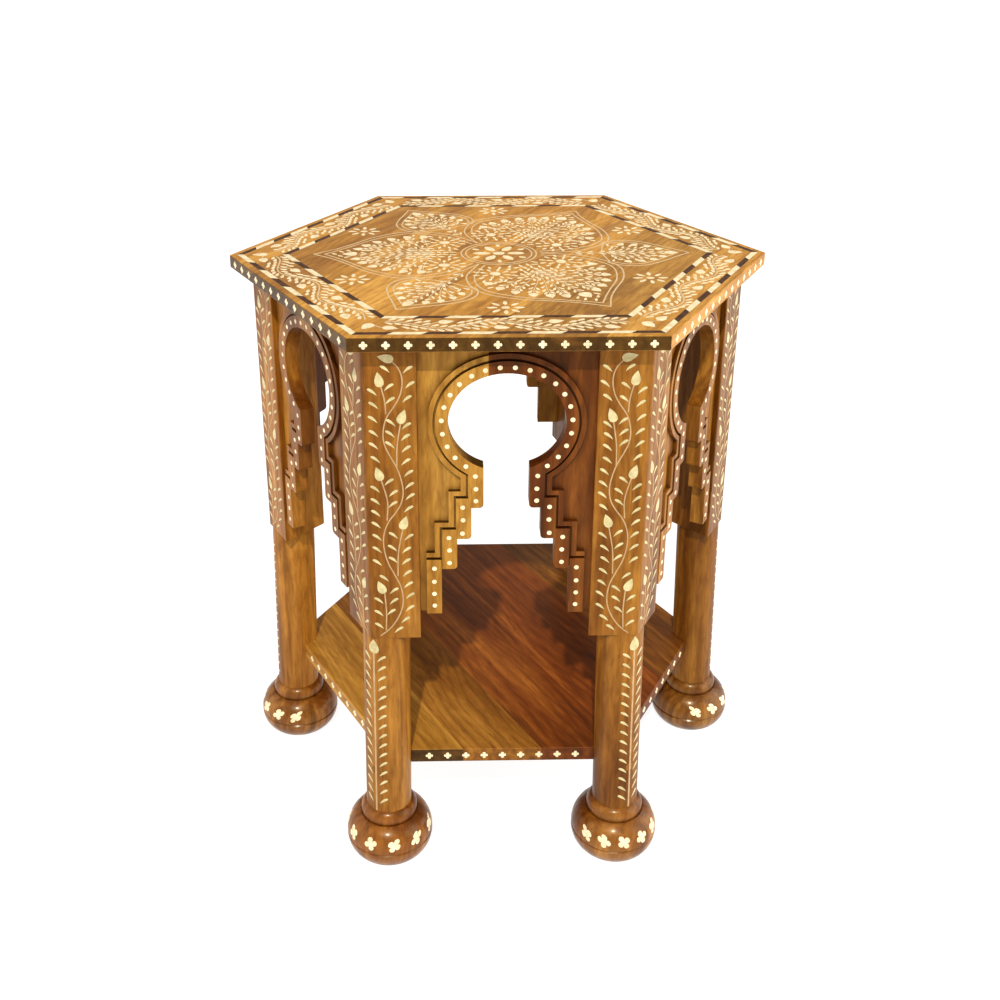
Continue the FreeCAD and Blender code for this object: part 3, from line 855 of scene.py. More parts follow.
@dataclass
class LegInlay:
    """The vines on the two outer faces of each leg block, and the sprig down its column.

    Places on a face are the distance from the leg's arris and the level above the block's bottom, in
    millimetres.
    """

    sizes: StoolSizes
    finishes: FinishBook
    stem_width: float = 1.15 * MM
    stem_steps: int = 96
    branch_steps: int = 14
    leaf_length: float = 9.6 * MM
    leaf_width: float = 3.2 * MM
    leaf_lift: float = math.radians(15)
    leaf_droop: float = 4.0 * MM
    bud_length: float = 14.0 * MM
    bud_width: float = 7.9 * MM
    sprig_width: float = 1.9 * MM
    sprig_steps: int = 24
    sprig_gap: float = 6.0 * MM
    sprig_stop: float = 3.0 * MM
    sprig_spacing: float = 10.8 * MM
    sprig_reach: float = 7.4 * MM
    sprig_bud: Pair = (15.0 * MM, 10.5 * MM)
    sprig_ends: Pair = (0.5 * MM, 17.0 * MM)
    main_stem: SmoothLine = SmoothLine((
        (8.8, 2.5), (17.0, 9.5), (24.0, 19.5), (28.8, 31.5), (29.9, 43.5), (27.6, 56.0), (22.6, 67.5),
        (17.6, 78.5), (14.7, 90.0), (13.8, 101.5), (15.4, 112.0), (19.4, 121.5), (25.8, 130.5),
        (30.6, 140.0), (32.2, 151.5), (30.2, 164.0), (26.6, 175.0), (21.6, 185.0), (17.5, 194.5),
        (16.2, 204.0), (17.4, 214.0), (20.6, 223.0), (26.6, 232.0), (31.2, 241.0), (33.3, 250.5),
        (33.0, 259.0), (30.2, 266.5), (25.0, 272.5),
    ))
    branches: tuple[SmoothLine, ...] = (
        SmoothLine(((13.8, 8.0), (14.6, 28.0), (13.5, 47.5))),
        SmoothLine(((25.8, 65.5), (26.8, 89.5), (31.0, 113.0))),
        SmoothLine(((17.6, 122.0), (18.4, 141.0), (13.2, 163.0))),
        SmoothLine(((27.2, 174.0), (28.0, 194.5), (31.2, 215.0))),
        SmoothLine(((19.2, 224.5), (18.2, 237.5), (15.4, 250.0))),
    )
    buds: tuple[tuple[float, float, float], ...] = (
        (10.4, 53.8, 112), (32.5, 119.6, 72), (11.4, 167.8, 108), (32.8, 221.8, 70), (13.9, 256.0, 99),
        (19.8, 275.2, 166),
    )
    arris_leaves: Places = (
        (8.0, 13.5), (8.0, 27.0), (8.2, 40.3), (13.6, 63.6), (8.0, 79.9), (8.2, 93.0), (8.4, 105.6),
        (8.0, 118.0), (8.0, 129.6), (8.0, 141.2), (8.2, 153.4), (9.2, 182.0), (8.0, 194.9), (8.4, 206.6),
        (8.0, 219.8), (9.0, 232.8), (8.2, 245.0), (19.4, 265.9), (22.2, 82.4), (21.8, 94.5), (22.8, 107.4),
        (22.0, 195.8), (22.4, 206.0), (23.2, 216.6),
    )
    outer_leaves: Places = (
        (25.2, 9.0), (31.6, 19.6), (35.6, 31.8), (36.0, 45.0), (34.8, 56.6), (34.0, 68.6), (33.2, 80.6),
        (33.8, 92.4), (36.0, 105.4), (36.4, 133.6), (38.0, 145.8), (37.6, 156.6), (37.0, 168.4),
        (35.0, 179.6), (35.4, 191.8), (35.0, 202.8), (36.0, 213.4), (37.0, 238.6), (39.6, 251.4),
        (38.2, 265.4), (18.8, 28.0), (21.4, 39.4), (21.8, 50.4), (22.8, 138.2), (23.6, 149.2),
        (20.0, 160.2), (22.8, 237.2), (22.0, 249.4),
    )

    def build(self) -> None:
        """Makes the inlay of all six legs."""
        for leg, degrees in LEGS.items():
            for side, side_degrees in SIDES.items():
                turn = (side_degrees - degrees + 180) % 360 - 180
                if abs(turn) == 30:
                    self._vine(leg, side, 1 if turn > 0 else -1)
            self._sprig(leg, degrees)

    def _leaf(self, piece: InlayPiece, place: Vector, way: int) -> None:
        """Adds a leaf that points to the right (way 1) or to the left (way -1) and a little up."""
        angle = self.leaf_lift if way > 0 else math.pi - self.leaf_lift
        piece.chip(Chip.COMMA, place, angle, self.leaf_length, self.leaf_width, -way * self.leaf_droop)

    def _vine(self, leg: str, side: str, hand: int) -> None:
        """Makes the vine on one face of a leg.

        Args:
            leg: The leg's name.
            side: The side that the face looks to.
            hand: 1 where the arris is at the start of the side, or -1 where it is at its end.
        """
        sizes = self.sizes
        piece = InlayPiece(f"{leg}_leg_{side}_vine", FlatFace.of_side(side, sizes.face_apothem))

        def flat(x: float, level: float) -> Vector:
            """Returns the place on the face of a point of the drawing."""
            return Vector((-hand * (sizes.arris_along - x * MM), sizes.block_bottom + level * MM))

        piece.stem(lambda t: flat(*self.main_stem.at(t)), self.stem_width, self.stem_steps)
        for line in self.branches:
            piece.stem(lambda t, line=line: flat(*line.at(t)), self.stem_width, self.branch_steps)
        for x, level, degrees in self.buds:
            angle = math.radians(degrees) if hand > 0 else math.pi - math.radians(degrees)
            piece.chip(Chip.BUD, flat(x, level), angle + math.pi, self.bud_length, self.bud_width)
        for x, level in self.outer_leaves:
            self._leaf(piece, flat(x, level), hand)
        for x, level in self.arris_leaves:
            self._leaf(piece, flat(x, level), -hand)
        piece.finish(self.finishes, worn=True)

    def _sprig(self, leg: str, degrees: float) -> None:
        """Makes the straight sprig down a column, on the line that faces outwards.

        Args:
            leg: The leg's name.
            degrees: The way that the leg stands from the axis.
        """
        sizes = self.sizes
        surface = RoundColumn(
            degrees, sizes.column_radius, sizes.column_top_place, sizes.block_bottom, sizes.column_lean
        )
        piece = InlayPiece(f"{leg}_column_sprig", surface)
        low, high = sizes.foot_height + self.sprig_ends[0], sizes.block_bottom - self.sprig_ends[1]
        piece.stem(lambda t: Vector((0, low + t * (high - low))), self.sprig_width, self.sprig_steps)
        piece.chip(Chip.BUD, Vector((0, high + self.sprig_gap)), math.radians(270), *self.sprig_bud)
        level = high - self.sprig_gap
        while level > low + self.sprig_stop:
            for hand in (-1, 1):
                self._leaf(piece, Vector((hand * self.sprig_reach, level)), hand)
            level -= self.sprig_spacing
        piece.finish(self.finishes, worn=True)


# Dots of the panels


@dataclass
class PanelDots:
    """The bone dots round each arch and down its corbel strips."""

    sizes: StoolSizes
    finishes: FinishBook
    dot_size: float = 4.3 * MM
    arch_count: int = 22
    arch_spacing: float = 12.6 * MM
    crown_level: float = 458.2 * MM
    crown_radius: float = 63.1 * MM
    crown_turn: float = math.radians(27)
    side_place: float = 5.9 * MM
    side_level: float = 469.8 * MM
    side_radius: float = 50.1 * MM
    strip_places: Places = (
        (27.0, 419.5), (26.5, 407.0), (26.5, 395.3), (38.0, 389.0), (37.7, 376.4), (38.3, 363.0),
        (50.3, 358.7), (49.8, 346.0), (49.9, 333.2), (63.4, 327.5), (63.6, 313.8), (63.7, 301.2),
        (63.5, 288.8),
    )

    def build(self) -> None:
        """Makes the dots of all six panels."""
        for side in SIDES:
            face = FlatFace.of_side(side, self.sizes.face_apothem - self.sizes.panel_band_recess)
            piece = InlayPiece(f"{side}_panel_dots", face)
            for place in self._places():
                piece.chip(Chip.DOT, place, 0.0, self.dot_size, self.dot_size)
            piece.finish(self.finishes)

    def _places(self) -> Iterable[Vector]:
        """Gives the places of one panel's dots.

        Returns:
            Each dot's distance from the side's middle and its level.
        """
        for hand in (-1, 1):
            for i in range(self.arch_count // 2):
                yield self._arch_place((i + 0.5) * self.arch_spacing, hand)
            for across, level in self.strip_places:
                yield Vector((hand * across * MM, level * MM))

    def _arch_place(self, run: float, hand: int) -> Vector:
        """Finds a place on the middle of the arch's band.

        Args:
            run: The distance along the band from the crown.
            hand: The side of the arch, 1 or -1.

        Returns:
            The distance from the side's middle and the level.
        """
        crown_run = self.crown_radius * self.crown_turn
        turn = run / self.crown_radius
        place, level, radius = 0.0, self.crown_level, self.crown_radius
        if run >= crown_run:
            turn = self.crown_turn + (run - crown_run) / self.side_radius
            place, level, radius = self.side_place, self.side_level, self.side_radius
        return Vector((hand * (place + radius * math.sin(turn)), level + radius * math.cos(turn)))


# Quatrefoils of the edges and feet


@dataclass
class QuatrefoilRows:
    """The rows of quatrefoils along the edges of the top and the shelf, and round the feet."""

    sizes: StoolSizes
    finishes: FinishBook
    top_count: int = 14
    top_spacing: float = 18.2 * MM
    top_drop: float = 7.0 * MM
    top_size: float = 7.0 * MM
    shelf_count: int = 9
    shelf_spacing: float = 17.8 * MM
    shelf_size: float = 7.2 * MM
    foot_spacings: tuple[float, ...] = (30.0, 30.0, 30.0, 30.0, 34.0, 28.0)
    foot_shifts: tuple[float, ...] = (0.0, 0.0, 0.0, 0.0, 5.0, 6.0)
    foot_rise: float = 9.6 * MM
    foot_size: float = 13.0 * MM
    foot_turns: tuple[float, ...] = (22, -16, 28, 18, -24, 30, -20)

    def build(self) -> None:
        """Makes the rows of every edge and foot."""
        sizes = self.sizes
        for side in SIDES:
            self._row(f"{side}_top_edge_quatrefoils", FlatFace.of_side(side, sizes.top_apothem),
                      self.top_count, self.top_spacing, sizes.top_level - self.top_drop, self.top_size)
            self._row(f"{side}_shelf_edge_quatrefoils", FlatFace.of_side(side, sizes.shelf_apothem),
                      self.shelf_count, self.shelf_spacing, sizes.shelf_middle, self.shelf_size)
        reach = sizes.foot_ball_radius - sizes.foot_ball_curve
        reach += sizes.foot_ball_curve * math.cos(self.foot_rise / sizes.foot_ball_curve)
        for spacing, shift, (leg, degrees) in zip(self.foot_spacings, self.foot_shifts, LEGS.items()):
            ball = BallShoulder(heading(degrees) * sizes.foot_place, degrees, sizes.foot_ball_radius,
                                sizes.foot_ball_level, sizes.foot_ball_curve)
            piece = InlayPiece(f"{leg}_foot_quatrefoils", ball)
            for i, degrees_turned in enumerate(self.foot_turns):
                along = math.radians(shift + spacing * (i - (len(self.foot_turns) - 1) / 2)) * reach
                piece.chip(Chip.QUATREFOIL, Vector((along, self.foot_rise)), math.radians(degrees_turned),
                           self.foot_size, self.foot_size)
            piece.finish(self.finishes)

    def _row(self, name: str, face: FlatFace, count: int, spacing: float, level: float, size: float) -> None:
        """Makes one row along a flat edge.

        Args:
            name: The piece's name.
            face: The edge's face.
            count: How many quatrefoils there are.
            spacing: The distance from one to the next.
            level: Their level above the floor.
            size: Their size across.
        """
        piece = InlayPiece(name, face)
        for i in range(count):
            place = Vector(((i - (count - 1) / 2) * spacing, level))
            piece.chip(Chip.QUATREFOIL, place, 0.0, size, size)
        piece.finish(self.finishes)


# Inlay of the top


class LeafyPiece(InlayPiece):
    """A piece of inlay whose small leaves keep clear of what lies already."""

    GAP = 5.3 * MM

    def __init__(self, name: str, surface: Surface) -> None:
        """Starts an empty piece with its name, on the face that carries it."""
        super().__init__(name, surface)
        self.laid: list[tuple[Vector, float]] = []

    def lay(self, kind: Chip, place: Vector, angle: float, size: Pair, reach: float) -> None:
        """Adds a chip of a length and width that spreads by its reach beyond a small leaf."""
        self.chip(kind, place, angle, *size)
        self.laid.append((place.copy(), reach))

    def leaf(self, place: Vector, angle: float, size: Pair, bend: float = 0.0) -> None:
        """Adds a small leaf where there is room for it.

        Args:
            place: The leaf's middle.
            angle: The way from its tail to its head, in radians.
            size: Its length and width.
            bend: How far its tail droops to the side.
        """
        if all((place - other).length >= self.GAP + reach for other, reach in self.laid):
            self.laid.append((place.copy(), 0.0))
            self.chip(Chip.COMMA, place, angle, *size, bend)


@dataclass(frozen=True)
class Lobe:
    """The drawing of one kind of lobe of the top, in metres along its axis and across it.

    Each outline has its number of steps, and the last one is the inner line. The buds stand on both sides of
    the axis, each at the end of a branch from the root. A bend is the share of the way to the bud, along and
    across, and how far the place is drawn back.
    """

    name: str
    outlines: tuple[tuple[SmoothLine, int], ...]
    tip: float
    tip_size: Pair
    tip_reach: float
    buds: Places
    bud_size: Pair
    bud_reach: float
    bud_aim: float
    root: float
    middle: Places
    middle_start: float
    bends: tuple[tuple[float, float, float], ...]
    branch_start: Pair
    fan_root: float
    fan_margin: float
    rosettes: Places = ()
    arc: SmoothLine | None = None
    spine: SmoothLine | None = None


WIDE_LOBE = Lobe(
    name="wide",
    outlines=(
        (SmoothLine((
            (0.0205, 0.0355), (0.034, 0.0520), (0.047, 0.0650), (0.065, 0.0735), (0.082, 0.0770),
            (0.097, 0.0755), (0.112, 0.0680), (0.129, 0.0540), (0.147, 0.0320), (0.163, 0.0150), (0.182, 0.0),
        )), 56),
        (SmoothLine((
            (0.0260, 0.0325), (0.039, 0.0465), (0.051, 0.0585), (0.067, 0.0670), (0.082, 0.0705),
            (0.095, 0.0690), (0.109, 0.0620), (0.126, 0.0490), (0.143, 0.0295), (0.157, 0.0140), (0.171, 0.0),
        )), 48),
    ),
    tip=0.1465,
    tip_size=(15 * MM, 12.5 * MM),
    tip_reach=4 * MM,
    buds=(
        (0.1400, 0.0165), (0.1325, 0.0285), (0.1225, 0.0405), (0.1085, 0.0505), (0.0925, 0.0570),
        (0.0755, 0.0590),
    ),
    bud_size=(10.4 * MM, 8.8 * MM),
    bud_reach=2.2 * MM,
    bud_aim=0.045,
    root=0.066,
    middle=((0.100, 0.0005), (0.138, 0.0)),
    middle_start=0.05,
    bends=((0.42, 0.34, 0.0), (0.78, 0.78, 0.0), (1.0, 0.93, 0.003)),
    branch_start=(0.22, 0.03),
    fan_root=0.038,
    fan_margin=5.0 * MM,
    rosettes=((0.0535, -0.0375), (0.0535, 0.0375)),
)

NARROW_LOBE = Lobe(
    name="narrow",
    outlines=(
        (SmoothLine((
            (0.104, 0.031), (0.110, 0.037), (0.124, 0.0425), (0.141, 0.0395), (0.157, 0.0285),
            (0.172, 0.0145), (0.188, 0.0),
        )), 36),
        (SmoothLine((
            (0.110, 0.0310), (0.123, 0.0365), (0.138, 0.0345), (0.152, 0.0245), (0.164, 0.0130), (0.177, 0.0),
        )), 28),
    ),
    tip=0.1705,
    tip_size=(14 * MM, 9.5 * MM),
    tip_reach=3 * MM,
    buds=((0.1605, 0.0125), (0.1505, 0.0220), (0.1380, 0.0275), (0.1245, 0.0290)),
    bud_size=(9.0 * MM, 7.2 * MM),
    bud_reach=1.6 * MM,
    bud_aim=0.106,
    root=0.106,
    middle=((0.135, 0.0), (0.164, 0.0)),
    middle_start=0.06,
    bends=((0.5, 0.40, 0.0), (1.0, 0.90, 0.002)),
    branch_start=(0.30, 0.0),
    fan_root=0.100,
    fan_margin=4.0 * MM,
    arc=SmoothLine(((0.106, -0.028), (0.102, 0.0), (0.106, 0.028))),
    spine=SmoothLine(((0.072, 0.0), (0.086, 0.0), (0.101, 0.0))),
)


@dataclass
class TopInlay:
    """The lobed pattern in the middle of the top, its stars, and the border vine between the rings."""

    sizes: StoolSizes
    finishes: FinishBook
    line_width: float = 1.5 * MM
    circle_steps: int = 72
    circle_radii: tuple[float, ...] = (32.5 * MM, 37.0 * MM)
    flower_heart: Pair = (12 * MM, 10 * MM)
    flower_petals: tuple[tuple[float, float, Pair], ...] = (
        (0.0, 17.0 * MM, (17 * MM, 8.4 * MM)), (0.5, 26.0 * MM, (8 * MM, 4.4 * MM)),
    )
    star_place: float = 159.0 * MM
    star_heart: Pair = (7.4 * MM, 6.0 * MM)
    star_radius: float = 11.8 * MM
    star_petal: Pair = (9.6 * MM, 4.0 * MM)
    rosette_heart: Pair = (11.0 * MM, 10.0 * MM)
    rosette_reach: float = 3 * MM
    rosette_rings: tuple[tuple[int, float, float], ...] = ((8, 10.8 * MM, 0.0), (12, 18.0 * MM, 0.5))
    leaf_size: Pair = (7.4 * MM, 3.2 * MM)
    branch_width: float = 1.05 * MM
    branch_steps: int = 12
    branch_leaf_bend: float = 1.2 * MM
    branch_spacing: float = 7.6 * MM
    branch_swing: float = math.radians(40)
    branch_aside: float = 0.8 * MM
    branch_reach: float = 3.4 * MM
    fan_start: float = 8.0 * MM
    fan_step: float = 6.4 * MM
    fan_spacing: float = 6.8 * MM
    fan_swing: float = math.radians(32)
    fan_slice: float = 4.0 * MM
    fan_leaf_bend: float = 1.0 * MM
    middle_clear: float = 42.0 * MM
    border_apothem: float = 200.2 * MM
    border_reach: float = 8.5 * MM
    border_half: float = 102.0 * MM
    border_wave: float = 92.0 * MM
    border_start: float = -7.0 * MM
    border_steps: int = 90
    border_room: float = 13.4 * MM
    border_bud: Pair = (13.5 * MM, 9.0 * MM)
    border_leaf: Pair = (8.4 * MM, 4.0 * MM)
    border_leaf_spacing: float = 7.2 * MM
    border_leaf_rows: Pair = (4.6 * MM, 11.0 * MM)
    border_leaf_shift: float = 2.4 * MM
    border_leaf_start: float = 3 * MM
    border_leaf_angle: float = math.radians(44)
    border_leaf_bend: float = 1.4 * MM
    twig_width: float = 1.2 * MM
    twig_steps: int = 8
    twig_bud_place: Pair = (2 * MM, 7.0 * MM)
    twig_bud_tilt: float = 14.0
    twig_bud_reach: float = 1.0 * MM
    twig_bud_half: float = 5 * MM
    twig_bend: float = 2 * MM
    twig_places: tuple[float, float, float] = (-15 * MM, -9 * MM, -3 * MM)
    corner_bud: Pair = (15 * MM, 10 * MM)
    corner_shift: Pair = (1 * MM, 3 * MM)

    def build(self) -> None:
        """Makes every piece of the top's inlay."""
        self._centre()
        for i in range(6):
            degrees = 60.0 * i
            self._lobe(WIDE_LOBE if i % 2 else NARROW_LOBE, degrees)
            self._star(degrees + 30)
        for side in SIDES:
            self._border(side)

    def _face(self, degrees: float) -> FlatFace:
        """Returns the top's face with its first direction turned from +X by an angle in degrees."""
        out = heading(degrees)
        return FlatFace(UPRIGHT * self.sizes.top_level, out, UPRIGHT.cross(out))

    @staticmethod
    def _petals(
        piece: InlayPiece, centre: Vector, count: int, shift: float, radius: float, size: Pair
    ) -> None:
        """Adds a ring of petals.

        Args:
            piece: The piece that they belong to.
            centre: The ring's middle.
            count: How many petals there are.
            shift: How far the ring is turned, as a share of the turn from one petal to the next.
            radius: The ring's radius.
            size: Each petal's length and width.
        """
        for i in range(count):
            angle = math.tau * (i + shift) / count
            piece.chip(Chip.PETAL, centre + spoke(angle) * radius, angle, *size)

    def _centre(self) -> None:
        """Makes the flower at the middle and the two circles round it."""
        piece = InlayPiece("top_centre_flower", self._face(0))
        centre = Vector((0, 0))
        piece.chip(Chip.DOT, centre, 0.0, *self.flower_heart)
        for shift, radius, size in self.flower_petals:
            self._petals(piece, centre, 6, shift, radius, size)
        for radius in self.circle_radii:
            piece.stem(lambda t, r=radius: spoke(math.tau * t) * r, self.line_width, self.circle_steps)
        piece.finish(self.finishes)

    def _branch(self, piece: LeafyPiece, line: SmoothLine, first: float, last: float = 0.90) -> None:
        """Adds a branch with leaves on both sides.

        Args:
            piece: The lobe.
            line: The branch's line.
            first: The share of the line where its leaves start.
            last: The share of the line where its leaves end.
        """
        piece.stem(line.at, self.branch_width, self.branch_steps)
        count = max(2, round(line.length() * (last - first) / self.branch_spacing))
        for i in range(count):
            share = first + (last - first) * i / (count - 1)
            angle = line.heading_at(share)
            for hand in (-1, 1):
                swing = angle + hand * self.branch_swing
                aside = Vector((-math.sin(angle), math.cos(angle))) * (hand * self.branch_aside)
                place = line.at(share) + aside + spoke(swing) * self.branch_reach
                piece.leaf(place, swing, self.leaf_size, hand * self.branch_leaf_bend)

    def _fill(self, piece: LeafyPiece, root: Vector, edge: SmoothLine, margin: float) -> None:
        """Fills what is left of a lobe with small leaves that fan out from its root.

        Args:
            piece: The lobe.
            root: The place that the leaves fan out from.
            edge: The lobe's outline on one side.
            margin: How far the leaves keep from the outline.
        """
        outline = [edge.at(i / edge.PIECES) for i in range(edge.PIECES + 1)]
        first, last = min(p.x for p in outline), max(p.x for p in outline)
        ring = 0
        reach = self.fan_start
        while root.x + reach < last:
            steps = max(2, int(reach * math.pi / self.fan_spacing))
            for i in range(steps):
                angle = math.pi * ((i + 0.5 * (ring % 2)) / steps - 0.5)
                place = root + spoke(angle) * reach
                near = [abs(p.y) for p in outline if abs(p.x - place.x) < self.fan_slice]
                clear = min((place - Vector((p.x, math.copysign(p.y, place.y)))).length for p in outline)
                inside = near and first < place.x and abs(place.y) < max(near)
                if inside and place.length > self.middle_clear and clear > margin:
                    turn = self.fan_swing * (1 if (i + ring) % 2 else -1)
                    piece.leaf(place, angle + turn, self.leaf_size, self.fan_leaf_bend)
            reach += self.fan_step
            ring += 1

    def _rosette(self, piece: LeafyPiece, centre: Vector) -> None:
        """Adds a round flower with two rings of small leaves about it.

        Args:
            piece: The lobe.
            centre: The flower's middle.
        """
        piece.lay(Chip.DOT, centre, 0.0, self.rosette_heart, self.rosette_reach)
        for count, radius, shift in self.rosette_rings:
            for i in range(count):
                angle = math.tau * (i + shift) / count
                piece.leaf(centre + spoke(angle) * radius, angle, self.leaf_size)

    def _lobe(self, lobe: Lobe, degrees: float) -> None:
        """Makes one of the top's lobes.

        Args:
            lobe: The lobe's drawing.
            degrees: The way that the lobe points.
        """
        piece = LeafyPiece(f"top_{lobe.name}_lobe_{int(degrees)}", self._face(degrees))
        root = Vector((lobe.root, 0.0))
        pairs = [(x, hand * y) for x, y in lobe.buds for hand in (-1, 1)]
        for line, steps in lobe.outlines:
            for half in (line, line.mirrored()):
                piece.stem(half.at, self.line_width, steps)
        piece.lay(Chip.BUD, Vector((lobe.tip, 0.0)), math.pi, lobe.tip_size, lobe.tip_reach)
        for x, y in pairs:
            angle = math.atan2(y, x - lobe.bud_aim) + math.pi
            piece.lay(Chip.BUD, Vector((x, y)), angle, lobe.bud_size, lobe.bud_reach)
        for place in lobe.rosettes:
            self._rosette(piece, Vector(place))
        if lobe.arc and lobe.spine:
            piece.stem(lobe.arc.at, self.line_width, self.branch_steps)
            self._branch(piece, lobe.spine, 0.15, 0.96)
        self._branch(piece, SmoothLine((tuple(root), *lobe.middle)), lobe.middle_start)
        for i, (x, y) in enumerate(pairs):
            bends = [(root.x + (x - root.x) * run - back, y * rise) for run, rise, back in lobe.bends]
            start = lobe.branch_start[0] + lobe.branch_start[1] * (i // 2)
            self._branch(piece, SmoothLine((tuple(root), *bends)), start)
        self._fill(piece, Vector((lobe.fan_root, 0.0)), lobe.outlines[-1][0], lobe.fan_margin)
        piece.finish(self.finishes)

    def _star(self, degrees: float) -> None:
        """Makes a flower of eight petals between two lobes.

        Args:
            degrees: The way that the flower stands from the middle.
        """
        piece = InlayPiece(f"top_star_{int(degrees)}", self._face(0))
        centre = heading(degrees).xy * self.star_place
        piece.chip(Chip.DOT, centre, 0.0, *self.star_heart)
        self._petals(piece, centre, 8, 0.0, self.star_radius, self.star_petal)
        piece.finish(self.finishes)

    def _across(self, along: float) -> float:
        """Returns how far across the border its vine is, at a distance along the side."""
        turn = math.tau * (along - self.border_start) / self.border_wave
        return -self.border_apothem + self.border_reach * math.cos(turn)

    def _border(self, side: str) -> None:
        """Makes the vine between the rings along one side, with the bud at its first corner.

        Args:
            side: The side's name.
        """
        out = heading(SIDES[side])
        face = FlatFace(UPRIGHT * self.sizes.top_level, UPRIGHT.cross(out), -out)
        piece = LeafyPiece(f"top_border_vine_{side}", face)
        half = self.border_half

        def vine(share: float) -> Vector:
            """Returns the place on the vine at a share of its line."""
            along = half * (2 * share - 1)
            return Vector((along, self._across(along)))

        piece.stem(vine, self.line_width, self.border_steps)
        for i in range(-2, 3):
            self._twig(piece, self.border_start + self.border_wave / 2 * i, 1 if i % 2 else -1)
        along = -half + self.border_leaf_start
        while along < half:
            for hand in (-1, 1):
                shifted = along + (self.border_leaf_shift if hand > 0 else 0.0)
                for row in self.border_leaf_rows:
                    place = Vector((shifted, self._across(along) + hand * row))
                    if abs(place.y + self.border_apothem) < self.border_room:
                        angle, bend = hand * self.border_leaf_angle, hand * self.border_leaf_bend
                        piece.leaf(place, angle, self.border_leaf, bend)
            along += self.border_leaf_spacing
        corner = self.border_apothem * math.tan(SIDE_TURN / 2) + self.corner_shift[0]
        place = Vector((-corner, -self.border_apothem - self.corner_shift[1]))
        piece.chip(Chip.BUD, place, math.radians(60), *self.corner_bud)
        piece.finish(self.finishes)

    def _twig(self, piece: LeafyPiece, crest: float, hand: int) -> None:
        """Adds a bud of the border with the twig that carries it.

        Args:
            piece: The border's piece.
            crest: The distance along the side of a crest of the vine.
            hand: The side of the vine that the bud stands on, 1 or -1.
        """
        ahead, aside = self.twig_bud_place
        bud = Vector((crest + ahead, -self.border_apothem + hand * aside))
        tilt = math.radians(180 + hand * self.twig_bud_tilt)
        piece.lay(Chip.BUD, bud, tilt, self.border_bud, self.twig_bud_reach)
        for step in (-self.twig_bud_half, self.twig_bud_half):
            piece.laid.append((bud + Vector((step, 0.0)), self.twig_bud_reach))
        first, middle, last = (crest + place for place in self.twig_places)
        root = self._across(first)
        bend = (root + bud.y) / 2 + hand * self.twig_bend
        line = SmoothLine(((first, root), (middle, bend), (last, bud.y)))
        piece.stem(line.at, self.twig_width, self.twig_steps)


# Studio


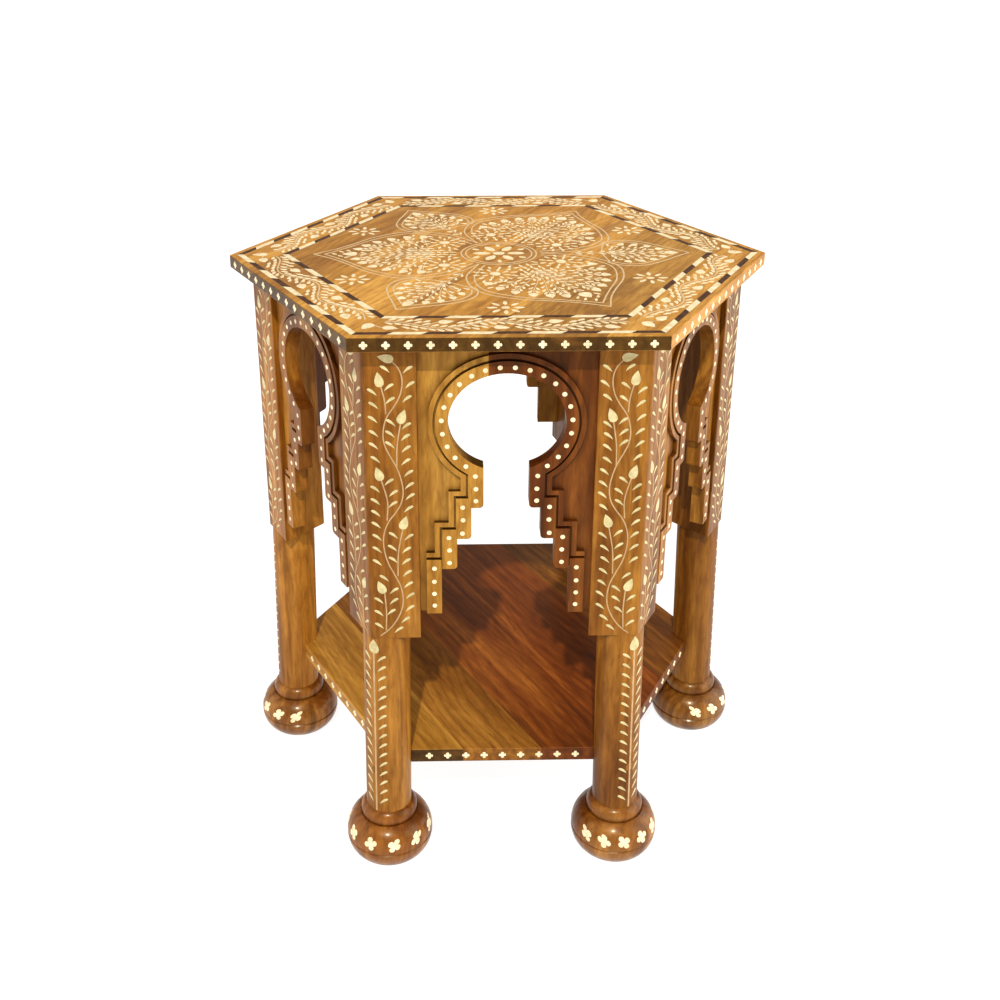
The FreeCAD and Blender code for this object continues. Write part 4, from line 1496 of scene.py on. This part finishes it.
@dataclass
class Studio:
    """A pale lit floor, white surroundings, one key light and the camera at the photograph's angle."""

    camera_place: tuple[float, float, float] = (-45.236 * MM, -1134.152 * MM, 904.639 * MM)
    azimuth: float = -1.3360
    elevation: float = 21.6816
    roll: float = 0.1254
    focal_pixels: float = 1201.419
    principal_x: float = 479.462
    principal_y: float = 350.0
    picture_size: float = 1000.0
    sensor_width: float = 36.0
    floor_size: float = 30.0
    clip: Pair = (0.05, 50.0)
    key_way: tuple[float, float, float] = (0.09, 0.88, -1.0)
    key_power: float = 2.9
    key_softness: float = math.radians(1.5)
    warm_white: Colour = (1.0, 0.95, 0.83)
    surroundings: float = 0.55
    panel_place: tuple[float, float, float] = (1.75, -0.25, 0.75)
    panel_aim: tuple[float, float, float] = (0.0, 0.0, 0.3)
    panel_size: Pair = (2.2, 1.5)
    panel_powers: Pair = (13.0, 36.0)
    floor_glow: float = 0.90

    def build(self) -> None:
        """Makes the floor, the lights, the surroundings and the camera."""
        self._floor()
        key = self._light("key_light", "SUN", self.key_power, -Vector(self.key_way) * 2, Vector(self.key_way))
        key.angle = self.key_softness
        for side, power in zip((-1, 1), self.panel_powers):
            x, y, z = self.panel_place
            place = Vector((side * x, y, z))
            panel = self._light(f"side_panel_{side}", "AREA", power, place, Vector(self.panel_aim) - place)
            panel.shape = "RECTANGLE"
            panel.size, panel.size_y = self.panel_size
        self._world()
        self._camera()

    def _floor(self) -> None:
        """Makes the pale floor, which glows a little as a lit table does."""
        mesh = bmesh.new()
        bmesh.ops.create_grid(mesh, x_segments=1, y_segments=1, size=self.floor_size)
        data = bpy.data.meshes.new("studio_floor")
        mesh.to_mesh(data)
        mesh.free()
        sheet = NodeSheet("pale_floor")
        cloud = sheet.noise(sheet.coords(), 1.5, 2.0)
        colour = sheet.ramp(cloud, ((0.3, (0.25, 0.25, 0.26)), (0.7, (0.27, 0.27, 0.28))))
        data.materials.append(sheet.finish({
            "Base Color": colour,
            "Roughness": 0.9,
            "Specular IOR Level": 0.0,
            "Emission Color": (*WHITE, 1.0),
            "Emission Strength": self.floor_glow,
        }))
        floor = placed("studio_floor", data)

    def _light(self, name: str, kind: str, power: float, place: Vector, way: Vector) -> bpy.types.Light:
        """Adds a warm white light.

        Args:
            name: The light's name.
            kind: The light's type.
            power: Its strength.
            place: Where it stands.
            way: The way that it shines.

        Returns:
            The light's data.
        """
        data = bpy.data.lights.new(name, kind)
        data.energy = power
        data.color = self.warm_white
        light = placed(name, data)
        light.location = place
        light.rotation_euler = way.to_track_quat("-Z", "Y").to_euler()
        return data

    def _world(self) -> None:
        """Makes the plain white surroundings."""
        world = bpy.data.worlds.new("studio_world")
        world.use_nodes = True
        background = world.node_tree.nodes["Background"]
        background.inputs["Color"].default_value = (*self.warm_white, 1.0)
        background.inputs["Strength"].default_value = self.surroundings
        bpy.context.scene.world = world
        bpy.context.scene.view_settings.view_transform = "Standard"

    def _camera(self) -> None:
        """Makes the camera at the photograph's place and angle."""
        data = bpy.data.cameras.new("photo_camera")
        data.sensor_width = self.sensor_width
        data.lens = self.focal_pixels / self.picture_size * self.sensor_width
        data.shift_x = 0.5 - self.principal_x / self.picture_size
        data.shift_y = self.principal_y / self.picture_size - 0.5
        data.clip_start, data.clip_end = self.clip
        camera = placed("photo_camera", data)
        turns = ((self.azimuth, "Z"), (90 - self.elevation, "X"), (self.roll, "Z"))
        turn, tilt, roll = (Matrix.Rotation(math.radians(degrees), 4, axis) for degrees, axis in turns)
        pose = turn @ tilt @ roll
        pose.translation = self.camera_place
        camera.matrix_world = pose
        bpy.context.scene.camera = camera


def main() -> None:
    """Builds the scene round the frame."""
    logging.basicConfig(level=logging.INFO, format="%(name)s: %(message)s")
    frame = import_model()
    sizes = StoolSizes.from_frame()
    finishes = FinishBook()
    Woodwork(frame["nodes"], finishes).dress()
    LegInlay(sizes, finishes).build()
    PanelDots(sizes, finishes).build()
    QuatrefoilRows(sizes, finishes).build()
    TopInlay(sizes, finishes).build()
    Studio().build()


if __name__ == "__main__":
    main()
